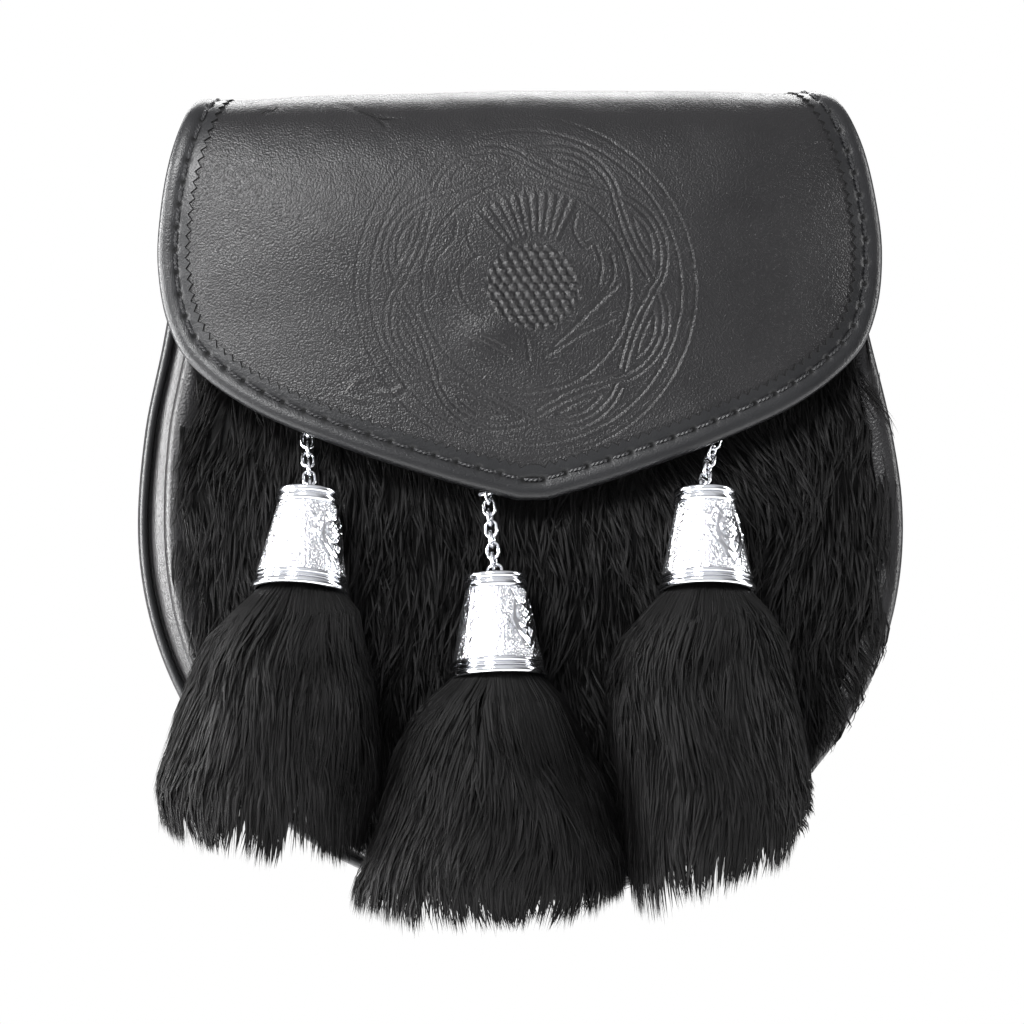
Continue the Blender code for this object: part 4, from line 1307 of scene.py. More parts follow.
class SPORRAN_OT_fur_front(bpy.types.Operator):
    """The hide on the front and its tufted fur"""

    bl_idname = "sporran.fur_front"
    bl_label = "Fur front"

    def execute(self, context):
        sizes = context.scene.sporran_sizes
        finish = hair(context)
        edge = closed_outline(FRONT_RADIUS, FUR_INSET, FRONT_SHIFT, FRONT_TOP_DROP + FUR_TOP)
        hide = domed("Fur_hide", edge, HIDE_SHARES, -SEAM_GAP, -(SEAM_GAP + HIDE_THICK))
        hand_in(hide, finish, ["fur_front"])
        maker = np.random.default_rng(11)
        clumps = self.clumps(maker)
        half = sizes.front_hairs // 2
        for number, name in enumerate(("Fur_front_upper", "Fur_front_lower")):
            points, out, tone = self.grown(clumps[number::2], half, maker)
            width, flat = wisps_and_hairs(sizes, half, FRONT_WISPS, maker)
            width = width * np.where(np.arange(half) < half * FRONT_WISPS, FRONT_WISP_WIDTH, 1.0)
            hairs(name, points, width, flat, out, tone, finish, maker)
        return {"FINISHED"}

    def clumps(self, maker):
        """Tufts: root x and drop, lean, length and tone of each."""
        found = []
        for row, drop in enumerate(np.arange(20.0, WIDEST_DROP + FRONT_RADIUS - 4.0, TUFT_PITCH * 0.9)):
            for x in np.arange(-96.0, 98.0, TUFT_PITCH) + (row % 2) * TUFT_PITCH / 2:
                px, pd = x + maker.normal(0, TUFT_STRAY), drop + maker.normal(0, TUFT_STRAY)
                room = float(half_width(FRONT_RADIUS, np.array(WIDEST_DROP - pd))) - TUFT_EDGE
                if abs(px - FRONT_SHIFT) > room:
                    continue
                free = float(below_flap(np.array(px), np.array(pd + 14.0)))
                if free < FEW and maker.random() > HIDDEN_KEPT:
                    continue
                if covered(px, pd) and maker.random() > COVERED_KEPT:
                    continue
                swirl = float(ripple(np.array([px, pd, 0.0]), 26.0, 21))
                lean = 0.2 * (px - FRONT_SHIFT) / FRONT_RADIUS + TUFT_SWIRL * swirl + maker.normal(0, 0.12)
                bright = 0.5 + 0.4 * float(ripple(np.array([px, pd, 0.0]), 17.0, 22)) + maker.normal(0, 0.2)
                found.append((px, pd, lean, maker.uniform(*TUFT_LENGTH), np.clip(bright, 0, 1)))
        return np.array(found)

    def grown(self, clumps, count, maker):
        """Points along each strand from root to tip, the way out of the hide and its tone."""
        pick = clumps[maker.integers(0, len(clumps), count)]
        spread_x, spread_d = (maker.normal(0, wide, count) for wide in TUFT_SPREAD)
        steps = np.linspace(0, 1, 4)[None]
        length = (pick[:, 3] * maker.uniform(0.7, 1.15, count))[:, None]
        lean = (pick[:, 2] + maker.normal(0, 0.08, count))[:, None]
        gather = 1 - 0.5 * steps**1.3
        x = pick[:, :1] + spread_x[:, None] * gather + lean * length * steps**1.2
        drop = pick[:, 1:2] + spread_d[:, None] * gather + length * steps * 0.95
        away = np.hypot(x - FRONT_SHIFT, np.maximum(0, drop - WIDEST_DROP))
        upper = half_width(FRONT_RADIUS, np.maximum(0, WIDEST_DROP - drop))
        wide = np.where(drop > WIDEST_DROP, FRONT_RADIUS, upper)
        single = (np.arange(count) > count * FRONT_WISPS)[:, None]
        limit = wide - 0.5 - maker.uniform(0, 2.6, count)[:, None] + 0.9 * single
        back = np.where(away > limit, limit / away, 1.0)
        x = FRONT_SHIFT + (x - FRONT_SHIFT) * back
        drop = np.where(drop > WIDEST_DROP, WIDEST_DROP + (drop - WIDEST_DROP) * back, drop)
        free = below_flap(x, drop)
        tall = maker.uniform(0.5, 1.0, count)[:, None] * (0.8 + 0.35 * pick[:, 4:5])
        lift = SEAM_GAP + HIDE_THICK - 0.5 + (2.0 + 3.0 * free) * tall * np.sin(np.clip(steps * 1.9, 0, 1.75))
        over = np.maximum(0, np.hypot(x - FRONT_SHIFT, np.maximum(0, drop - WIDEST_DROP)) - FRONT_RADIUS + 7)
        lift = lift + np.clip(over, 0, 4) * 0.45 - 0.9 * np.maximum(0, over - 5.5)
        points = world(x, front_y(x, drop) - lift, drop)
        out = np.zeros((count, 1, 3)) + (0, -1, 0.2)
        tone = np.clip(0.12 + 0.5 * pick[:, 4] ** 1.6 + maker.normal(0, 0.12, count), 0, 1)
        return points, out, tone


def covered(x, drop):
    """Whether a tassel hangs in front."""
    for rows in TASSEL_ROWS.values():
        table = np.array(rows)
        left, right = (np.interp(drop, table[:, 0], table[:, column]) for column in (1, 2))
        if table[0, 0] < drop < table[-1, 0] and left + 7 < x < right - 7:
            return True
    return False


class SPORRAN_OT_flap(bpy.types.Operator):
    """The domed flap with its pressed medallion, fine cracks and scuffs"""

    bl_idname = "sporran.flap"
    bl_label = "Flap"

    def execute(self, context):
        colours, sizes = context.scene.sporran_colours, context.scene.sporran_sizes
        last = len(FLAP_ROWS) - 1
        rows = spread(0.0, last, self.row_weight)
        columns = spread(-1.0, 1.0, self.column_weight)
        inner_rows, inner_columns = np.linspace(0, last, FLESH_GRID[0]), np.linspace(-1, 1, FLESH_GRID[1])
        x, place = self.laid(rows, columns)
        middle, out = flap_middle(x, place), flap_slopes(x, place)[2]
        drop = (FOLD_TOP - middle[..., 2]) / MM
        across = middle[..., 0] / MM
        relief = self.pressed(across, drop, place, sizes.press / MM)
        swell = FLAP_SWELL * ripple(middle, *FLAP_WAVE) + 0.05 * ripple(middle, 0.012, 6)
        edge = rows_at(FLAP_ROWS, np.linspace(2, last, 60))
        sides = [[(way * row[4], row[3]) for row in edge] for way in (-1, 1)]
        inset = near_lines(across, drop, sides, 15.0)
        relief = (relief + swell) * ease((inset - FLAP_CALM[0]) / FLAP_CALM[1])
        outer = middle + out * ((FLAP_THICK / 2 + relief) * MM)[..., None]
        x, place = self.laid(inner_rows, inner_columns)
        inner = flap_middle(x, place) - flap_slopes(x, place)[2] * FLAP_THICK / 2 * MM
        piece, slots = two_faced("Flap", outer, inner, (rows, columns), (inner_rows, inner_columns))
        hide = leather("Flap_leather", colours.leather, 0.33, sizes.grain, 0.0001)
        piece.data.materials.append(hide)
        piece.data.materials.append(flesh_side(context))
        piece.data.polygons.foreach_set("material_index", slots)
        hand_in(piece, None, ["flap"], angle=50)
        # Painted shade along the cracks and scratches; bare leather along the scuffs
        self.marks("Flap_crack_shade", CRACKS + SCRATCHES, CRACK_WIDTHS + SCRATCH_WIDTHS, CRACK_SHADE_COLOUR, 61)
        self.marks("Flap_scuffs", SCUFFS, SCUFF_WIDTHS, SCUFF_COLOUR, 62)
        return {"FINISHED"}

    def marks(self, name, lines, widths, colour, seed):
        """Broken slivers along lines on the flap's face: near-black painted shade for the bottoms of the
        cracks and scratches, and bare leather for the scuffs.
        """
        maker = np.random.default_rng(seed)
        strands, wide, out = [], [], []
        for line, width in zip(lines, widths):
            fine = np.array(smoothed(line, 12))
            for _ in range(5):
                start = maker.uniform(0.0, 0.55)
                share = (start + np.linspace(0, 1, 7) * maker.uniform(0.3, 0.45)) * (len(fine) - 1)
                x = np.interp(share, range(len(fine)), fine[:, 0]) + maker.normal(0, 0.04)
                drop = np.interp(share, range(len(fine)), fine[:, 1]) + maker.normal(0, 0.05)
                place = self.place_at(x, drop)
                normal = flap_slopes(x, place)[2]
                lift = FLAP_THICK / 2 + FLAP_SWELL * ripple(flap_middle(x, place), *FLAP_WAVE) + 0.05
                strands.append(flap_middle(x, place) + normal * (lift * MM)[:, None])
                out.append(normal)
                wide.append(width * maker.uniform(0.7, 1.1) * MM)
        count = len(strands)
        finish = leather(name, colour, 0.75, 0.0004, 0.0001)
        width, flat, tone = np.array(wide), np.full(count, 0.5), np.zeros(count)
        hairs(name, np.stack(strands), width, flat, np.stack(out), tone, finish, maker)

    def place_at(self, x, drop):
        """The place in the rows of points on the flap's front."""
        table = np.linspace(ON_FRONT, len(FLAP_ROWS) - 1, 800)
        found = []
        for one_x, one_drop in zip(x, drop):
            drops = (FOLD_TOP - flap_middle(np.full(len(table), one_x), table)[:, 2]) / MM
            found.append(table[np.argmin(np.abs(drops - one_drop))])
        return np.array(found)

    def laid(self, rows, columns):
        edge, place = flap_inside(rows, FLAP_EDGE)
        return edge[:, None] * columns[None], np.repeat(place[:, None], len(columns), axis=1)

    def row_weight(self, place):
        """Rows for each step of place: close together across the medallion."""
        step = flap_middle(0.0, place + 0.01) - flap_middle(0.0, place - 0.01)
        length = np.linalg.norm(step, axis=-1) / 0.02 / MM
        drop = rows_at(FLAP_ROWS, place)[..., 1]
        fine = (place > ON_FRONT) & (np.abs(drop - MEDALLION_DROP) < MEDALLION_REACH)
        return length * np.where(fine, 1 / FINE_STEP, 1 / ROW_STEP)

    def column_weight(self, share):
        """Columns for each step from side to side: close together across the medallion."""
        fine = np.abs(share) * FLAP_SIDE < MEDALLION_REACH + 3
        return FLAP_SIDE * np.where(fine, 1 / FINE_STEP, 1 / COLUMN_STEP)

    def pressed(self, x, drop, place, depth):
        """The relief in millimetres."""
        on_front = place > ON_FRONT + 0.2
        dx, dd = x - MEDALLION_X, drop - MEDALLION_DROP
        radius = np.hypot(dx, dd)
        clear = 0.42 + 0.58 * ease(0.5 + (dx * 0.8 + dd * 0.45) / 46)
        lines = list(THISTLE_LEAVES) + plait_lines()
        near = near_lines(x, drop, lines, 2.0)
        beside, wide, share = SHOULDER
        relief = -depth * np.exp(-((near / PRESS_WIDE) ** 2))
        relief += share * depth * np.exp(-(((near - beside) / wide) ** 2))
        for ring in RINGS:
            relief -= depth * np.exp(-(((radius - ring) / PRESS_WIDE) ** 2))
            relief += share * depth * np.exp(-(((np.abs(radius - ring) - beside) / wide) ** 2))
        relief *= clear
        relief += SCALES_HIGH * depth * self.scales(x, drop) + CROWN_HIGH * depth * self.crown(x, drop)
        bx, bd, half_x, half_d = BULGE
        relief += BULGE_HIGH * np.exp(-(((x - bx) / half_x) ** 2) - ((drop - bd) / half_d) ** 2)
        relief *= on_front
        cracks = near_lines(x, drop, CRACKS, 1.5)
        scuffs = near_lines(x, drop, SCUFFS, 2.5)
        relief -= on_front * CRACK_DEEP * np.exp(-((cracks / CRACK_SPREAD) ** 2))
        ridge, hollow = np.exp(-((scuffs / 0.8) ** 2)), np.exp(-(((scuffs - 1.2) / 0.5) ** 2))
        relief += on_front * SCUFF_HIGH * (ridge - 0.7 * hollow)
        return relief

    def crown(self, x, drop):
        """The thistle's down: a fan of ribs, each with a pointed end."""
        cx, cd, first, last, count = CROWN_FAN
        away = np.hypot(x - cx, drop - cd)
        share = (np.degrees(np.arctan2(x - cx, cd - drop)) - first) / (last - first)
        side = np.abs(2 * (share * count % 1) - 1)
        rib = np.sqrt(np.clip(1 - side**3, 0, 1))
        reach = CROWN_REACH[1] + 1.6 * (1 - side)
        within = ease(share * 30) * ease((1 - share) * 30)
        within = within * ease(away - CROWN_REACH[0]) * ease((reach - away) / 0.8)
        return (1.5 * rib - 0.7) * within

    def scales(self, x, drop):
        """The thistle's head: rows of rounded scales, each row half a scale along from the last."""
        bx, bd, half_x, half_d = BULB
        down = (drop - bd) / SCALE_TALL
        row = np.round(down)
        across = (x - bx) / SCALE_WIDE + 0.5 * (row % 2) + 0.12 * np.sin(row * 5.1)
        one = across - np.round(across)
        size = 0.40 + 0.05 * np.sin(row * 2.7 + np.round(across) * 4.3)
        bump = np.sqrt(np.clip(1 - (one / size) ** 2 - ((down - row - 0.25 * one) / 0.5) ** 2, 0, 1))
        inside = ((x - bx) / half_x) ** 2 + ((drop - bd) / half_d) ** 2
        return (1.6 * bump - 0.5) * ease((1.06 - inside) * 8)


def plait_lines():
    """The medallion's interlace: two strands that swing across each other, each drawn by its two
    edges and hidden where it passes under the other, and a small eye in each of their loops."""
    lines = []
    step = math.tau / PLAIT_TURNS
    for strand in (1, -1):
        for lobe in range(PLAIT_TURNS):
            start = lobe * step
            under = (lobe + (strand < 0)) % 2
            trim_start, trim_end = (PLAIT_GAP, 0.0) if under else (0.0, PLAIT_GAP)
            turn = np.linspace(start + trim_start, start + step - trim_end, 22)
            phase = (turn - start) / step * math.pi
            swing = np.sin(phase) ** 0.8 * strand * (1 if lobe % 2 else -1)
            for side in (-1, 1):
                reach = PLAIT_RADIUS + PLAIT_SWING * swing + side * PLAIT_BAND
                lines.append(on_medallion(turn, reach))
    for lobe in range(PLAIT_TURNS):
        turn = np.linspace(0.26, 0.74, 16) * step + lobe * step
        arch = np.sin(np.linspace(0, math.pi, 16)) * PLAIT_EYE
        for side in (-1, 1):
            lines.append(on_medallion(turn, PLAIT_RADIUS + side * arch))
    return lines


def on_medallion(turn, reach):
    x = MEDALLION_X + reach * np.cos(turn)
    return list(zip(x.tolist(), (MEDALLION_DROP + reach * np.sin(turn)).tolist()))


class SPORRAN_OT_binding(bpy.types.Operator):
    """The strip wrapped round the flap's edge, with its pinked inner edge and twisted stitches"""

    bl_idname = "sporran.binding"
    bl_label = "Flap binding"

    def execute(self, context):
        sizes = context.scene.sporran_sizes
        last = len(FLAP_ROWS) - 1
        fine = np.linspace(BINDING_START, last, 900)
        x, place = flap_inside(fine, BINDING_FRONT)
        distance = along(flap_middle(x, place))
        teeth = round(distance[-1] / sizes.tooth)
        at = np.linspace(0, distance[-1], teeth * PER_TOOTH + 1)
        down = np.interp(at, distance, fine)
        wave = np.abs(2 * (np.arange(len(at)) / PER_TOOTH % 1) - 1) * 2 - 1
        section = self.section()
        inset = np.repeat(section[None, :, 0], len(at), axis=0)
        height = np.repeat(section[None, :, 1], len(at), axis=0)
        for column, share in TOOTH_COLUMNS:
            inset[:, column] += wave * TOOTH_RISE * share
        x, place = flap_inside(down[:, None], inset)
        out = flap_slopes(x, place)[2]
        middle = flap_middle(x, place)
        crumple = 0.05 * ripple(middle, 0.016, 8) + 0.11 * ripple(middle, 0.04, 9)
        loose = (section[:, 0] < 4.6) & (section[:, 1] > 1.2)
        height = height + crumple * loose[None]
        holes = self.holes(fine, down, section[:, 0], sizes.stitch) * (section[:, 1] > 1.1)[None]
        height = height - HOLE_DEEP * holes
        # Painted shade: the mask is 1 in the stitch holes and on the pinked edge's cut faces, where the
        # leather's colour is darkened to stand in for their shade
        dark = holes.copy()
        dark[:, (0, 1, -1)] = 1.0
        half = middle + out * height[..., None] * MM
        rings = mirrored_edge(half)
        dark = around(np.concatenate([dark, dark[::-1]]))
        piece = laid_grid("Flap_binding", around(rings), round_way=True, filled=True, dark=dark)
        hand_in(piece, smooth_leather(context), ["flap_binding"], angle=45)
        x, place = flap_inside(fine, STITCH_INSET)
        out = flap_slopes(x, place)[2]
        line = flap_middle(x, place) + out * (strip_height(STITCH_INSET) - 0.05) * MM
        stitch_row(
            "Flap_stitches",
            mirrored_edge(line),
            mirrored_edge(out),
            sizes.stitch,
            sizes.stitch * STITCH_SHARE,
            BINDING_PLY,
            thread(context),
            lift=0.36,
        )
        line = flap_middle(np.linspace(-HEM_HALF, HEM_HALF, 200), np.full(200, HEM_PLACE))
        line = line + (0, (FLAP_THICK / 2 + THREAD_RISE) * MM, 0)
        stitch_row("Hem_stitches", line, np.zeros_like(line) + (0, 1, 0), *HEM_STITCH, thread(context))
        return {"FINISHED"}

    def holes(self, fine, down, inset, pitch):
        """1 in the holes between the stitches, 0 away from them."""
        x, place = flap_inside(fine, STITCH_INSET)
        distance = along(flap_middle(x, place))
        length = pitch * STITCH_SHARE
        count = int((2 * distance[-1] - length) / pitch) + 1
        start = (2 * distance[-1] - (count - 1) * pitch - length) / 2 - (pitch - length) / 2
        at = (np.interp(down, fine, distance) - start) / pitch
        away = np.hypot(((at - np.round(at)) * pitch / MM)[:, None], (inset - STITCH_INSET)[None])
        return np.exp(-((away / HOLE_REACH) ** 4))

    def section(self):
        """(inset, height above the leather's middle) round the wrapped strip, from its pinked edge."""
        face = [(inset, strip_height(inset)) for inset in STRIP_INSETS]
        bend = []
        for turn in np.linspace(0.2, math.pi - 0.1, 9):
            bend.append((BINDING_ROUND * (1 - math.sin(turn) ** 0.8), BINDING_HIGH * math.cos(turn)))
        low = BINDING_HIGH - 1.0
        back = [(3.5, -BINDING_HIGH), (BINDING_BACK, -BINDING_HIGH), (BINDING_BACK, -low), (1.0, -low)]
        return np.array([(8.22, 0.98)] + face + bend + back + [(1.0, 1.06), (5.0, 1.04), (8.2, 0.96)])


class SPORRAN_OT_belt_loops(bpy.types.Operator):
    """Leather loops on the back, sewn down at their ends"""

    bl_idname = "sporran.belt_loops"
    bl_label = "Belt loops"

    def execute(self, context):
        flat = SEAM_GAP + LOOP_THICK / 2
        proud = LOOP_GAP_DEPTH + SEAM_GAP + LOOP_THICK / 2
        path = [
            (flat, LOOP_GAP_HALF + LOOP_PAD),
            (flat, LOOP_GAP_HALF + LOOP_PAD / 2),
            (flat, LOOP_GAP_HALF + LOOP_BEND),
            (flat + LOOP_BEND, LOOP_GAP_HALF),
            (proud - LOOP_BEND, LOOP_GAP_HALF - LOOP_ROUND / 3),
            (proud, LOOP_GAP_HALF - LOOP_ROUND),
            (proud, LOOP_GAP_HALF / 2),
        ]
        path = np.array(path + [(y, -height) for y, height in path[::-1]])
        line = rows_at(path, np.linspace(0, len(path) - 1, 66))
        middle = FOLD_TOP / MM
        for side, name in ((-1, "left"), (1, "right")):
            x = side * LOOP_X + np.linspace(-LOOP_WIDTH / 2, LOOP_WIDTH / 2, 9)
            points = world(x[None], line[:, :1], middle - line[:, 1:])
            piece = laid_grid(f"Belt_loop_{name}", points)
            thickened(piece, LOOP_THICK, LOOP_EASED)
            hand_in(piece, grained(context), [f"belt_loop_{name}"])
            for end, word in ((-1, "low"), (1, "high")):
                drop = middle - end * (LOOP_GAP_HALF + LOOP_PAD - LOOP_SEAM)
                self.pad_stitches(context, f"Loop_stitches_{name}_{word}", side * LOOP_X, drop)
        return {"FINISHED"}

    def pad_stitches(self, context, name, x, drop):
        wide, tall = LOOP_WIDTH / 2 - PAD_MARGIN[0], LOOP_PAD / 2 - PAD_MARGIN[1]
        corners = ((-wide, tall), (wide, tall), (wide, -tall), (-wide, -tall), (-wide, tall))
        share = np.linspace(0, 4, 81)
        px = np.interp(share, range(5), [corner[0] for corner in corners])
        pd = np.interp(share, range(5), [corner[1] for corner in corners])
        line = world(x + px, SEAM_GAP + LOOP_THICK + THREAD_RISE + 0 * px, drop + pd)
        stitch_row(name, line, np.zeros_like(line) + (0, 1, 0), *PAD_STITCH, thread(context))


class SPORRAN_OT_chains(bpy.types.Operator):
    """Chain links, all one shape, and finishes for the staples and the stud"""

    bl_idname = "sporran.chains"
    bl_label = "Chains"

    def execute(self, context):
        metal = plated(context)
        nothing_selected()
        radius = (LINK_WIDTH - WIRE) / 2
        bpy.ops.mesh.primitive_torus_add(
            major_segments=36, minor_segments=12, major_radius=radius * MM, minor_radius=WIRE / 2 * MM
        )
        model = bpy.context.object
        stretch = (LINK_LENGTH - LINK_WIDTH) / 2 * MM
        for way in (1, -1):
            only(model)
            for point in model.data.vertices:
                point.select = point.co.x * way > 1e-6
            for edge in model.data.edges:
                edge.select = all(model.data.vertices[i].select for i in edge.vertices)
            for face in model.data.polygons:
                face.select = all(model.data.vertices[i].select for i in face.vertices)
            bpy.ops.object.mode_set(mode="EDIT")
            bpy.ops.transform.translate(value=(way * stretch, 0, 0))
            bpy.ops.object.mode_set(mode="OBJECT")
        for name, cad in frame["nodes"].items():
            if name.startswith("chain_link_"):
                self.link(model, name, cad, metal)
            elif name.startswith("chain_staple_") or name == "flap_stud":
                for slot in cad.material_slots:
                    slot.material = metal
        bpy.data.objects.remove(model)
        return {"FINISHED"}

    def link(self, model, name, cad, metal):
        """A copy of the model link, laid along the CAD link's length and width."""
        points = np.array([point.co[:] for point in cad.data.vertices])
        points = np.unique(points.round(7), axis=0)
        middle = points.mean(axis=0)
        ways = np.linalg.svd(points - middle)[2]
        ways[2] = np.cross(ways[0], ways[1])
        place = Matrix.Translation(Vector(middle)) @ Matrix(ways.T.tolist()).to_4x4()
        copy = model.copy()
        copy.data = model.data.copy()
        copy.name = copy.data.name = name.replace("chain_link", "Link")
        bpy.context.scene.collection.objects.link(copy)
        copy.data.transform(place)
        hand_in(copy, metal, [name], angle=80)


def cone_axis(tassel):
    """The middle of the cone's top, and the way down its axis."""
    start_y = float(fur_top(tassel["top_x"], tassel["top"] + 2.0)) - CONE_OFF_FUR - CONE_TOP_RADIUS
    low = tassel["top"] + CONE_HEIGHT
    end_y = float(fur_top(tassel["base_x"], low)) - CONE_OFF_FUR - CONE_BASE_RADIUS
    start = Vector(world(tassel["top_x"], start_y, tassel["top"]))
    end = Vector(world(tassel["base_x"], end_y, low))
    return start, (end - start).normalized()


class SPORRAN_OT_cones(bpy.types.Operator):
    """Cast cones with beads, a raised thistle on a pebbled ground, and a bail on top"""

    bl_idname = "sporran.cones"
    bl_label = "Tassel cones"

    def execute(self, context):
        metal = finish_named("Cast_chrome", chrome, context.scene.sporran_colours.chrome, pebbled=True)
        for side, tassel in TASSELS.items():
            self.cone(side, tassel, metal)
        return {"FINISHED"}

    def profile(self):
        """(radius, drop) down the outside and up the inside."""
        line = [(0.0, 0.0), (3.5, -0.05), (6.6, 0.0)]
        for number, (start, end, beside, bulge) in enumerate(CONE_BEADS):
            for turn in np.linspace(0, math.pi, 9):
                drop = (start + end) / 2 - (end - start) / 2 * math.cos(turn)
                line.append((beside + bulge * math.sin(turn) ** 0.8, drop))
            if number == 1:
                (top, high), (base, low) = CONE_BODY
                for share in np.linspace(0, 1, 56):
                    line.append((high + (low - high) * share, top + (base - top) * share))
        return line + list(CONE_INSIDE)

    def cone(self, side, tassel, metal):
        top, down = cone_axis(tassel)
        tilt = Vector((0, 0, -1)).rotation_difference(down).to_matrix().to_4x4()
        place = Matrix.Translation(top) @ tilt @ Matrix.Rotation(math.radians(tassel["turn"]), 4, "Z")
        line = self.profile()
        points = [(radius * MM, 0.0, -drop * MM) for radius, drop in line]
        piece = built(f"Tassel_cone_{side}", points, [], [(i, i + 1) for i in range(len(line) - 1)])
        only(piece)
        bpy.ops.object.mode_set(mode="EDIT")
        bpy.ops.mesh.select_all(action="SELECT")
        bpy.ops.mesh.spin(steps=CONE_STEPS, angle=math.tau, center=(0, 0, 0), axis=(0, 0, 1))
        bpy.ops.mesh.select_all(action="SELECT")
        bpy.ops.mesh.remove_doubles(threshold=1e-5)
        bpy.ops.mesh.normals_make_consistent(inside=False)
        bpy.ops.object.mode_set(mode="OBJECT")
        self.struck(piece)
        piece.data.transform(place)
        up = tuple(self.bail_up(down, tassel["roll"]))
        bail = tube(f"bail_{side}", self.bail(top, down, tassel["roll"]), WIRE / 2 * MM, up=up)
        bail.data.attributes.new("pebble", "FLOAT", "POINT")
        piece = joined([piece, bail], f"Tassel_cone_{side}")
        hand_in(piece, metal, [f"tassel_cone_{side}"], angle=50)

    def struck(self, piece):
        """Raises the thistle on the cone's body, and marks where the ground is pebbled."""
        count = len(piece.data.vertices)
        points = np.empty(count * 3, np.float32)
        piece.data.vertices.foreach_get("co", points)
        points = points.reshape(-1, 3).astype(float) / MM
        radius, drop = np.hypot(points[:, 0], points[:, 1]), -points[:, 2]
        (top, high), (base, low) = CONE_BODY
        face = np.interp(drop, (top, base), (high, low))
        body = (drop > top - 0.01) & (drop < base + 0.01) & (np.abs(radius - face) < 0.05)
        turn = np.arctan2(points[:, 0], -points[:, 1])
        turn = turn - 0.55 * np.sin(turn)
        points[:, 0], points[:, 1] = radius * np.sin(turn), -radius * np.cos(turn)
        x = turn * face
        leaves = [[(way * px, pd) for px, pd in line] for line in CONE_LEAVES for way in (-1, 1)]
        near = near_lines(x, drop, list(CONE_DOWN) + leaves, 1.6)
        raised = CONE_LINE_HIGH * np.exp(-((near / CONE_LINE_WIDE) ** 2))
        bx, bd, half_x, half_d = CONE_BULB
        inside = np.sqrt(((x - bx) / half_x) ** 2 + ((drop - bd) / half_d) ** 2)
        dome = np.sqrt(np.clip(1 - inside**2, 0, 1))
        one, two = (x - bx) + (drop - bd), (x - bx) - (drop - bd)
        scales = np.abs(np.cos(np.pi * one / CONE_SCALE) * np.cos(np.pi * two / CONE_SCALE)) ** 0.6
        raised = np.maximum(raised, dome * CONE_BULB_HIGH + CONE_SCALE_HIGH * scales * (inside < 0.95))
        for cx, cd in CONE_BERRIES:
            away = np.hypot(x - cx, drop - cd) / BERRY_RADIUS
            raised = np.maximum(raised, BERRY_HIGH * np.sqrt(np.clip(1 - away**2, 0, 1)))
        seam = SEAM_HIGH * np.exp(-(((turn + SEAM_TURN) * face / SEAM_WIDE) ** 2))
        leaf = (np.abs(x) < 4.4 - np.abs(drop - 12.5) * 0.32) & (drop > 6) & (drop < 19)
        raised = np.maximum(raised, LEAF_HIGH * leaf)
        ground = np.exp(-((raised / PEBBLES_BELOW) ** 2)) * body
        rough = 0.03 * ripple(points, 0.8, 14) * ground
        lift = np.where(body, np.maximum(raised, seam) + rough, 0)
        fade = ease((drop - top) / 0.5) * ease((base - drop) / 0.5)
        lift = lift * np.where(body, fade, 0)
        points[:, 0] += np.sin(turn) * lift
        points[:, 1] -= np.cos(turn) * lift
        piece.data.vertices.foreach_set("co", (points * MM).astype(np.float32).ravel())
        with_attributes(piece, {"pebble": ground})

    def bail_up(self, down, roll):
        """The way across the bail's arch."""
        up = (Vector((0, BAIL_LEAN, 0)) - down).normalized()
        axis = -up
        back = Vector((0, 1, 0))
        back = (back - axis * axis.y).normalized()
        turn = math.radians(roll)
        across = back * math.cos(turn) + back.cross(axis) * math.sin(turn)
        return up.cross(across)

    def bail(self, top, down, roll):
        up = (Vector((0, BAIL_LEAN, 0)) - down).normalized()
        across = self.bail_up(down, roll).cross(up)
        places = [(-BAIL_RADIUS, -BAIL_ROOT), (-BAIL_RADIUS, 0.0)]
        for turn in np.linspace(math.pi, 0, 19):
            rise = BAIL_RISE - BAIL_RADIUS + BAIL_RADIUS * math.sin(turn)
            places.append((BAIL_RADIUS * math.cos(turn), rise))
        places += [(BAIL_RADIUS, 0.0), (BAIL_RADIUS, -BAIL_ROOT)]
        return np.array([top + (across * side + up * rise) * MM for side, rise in places])


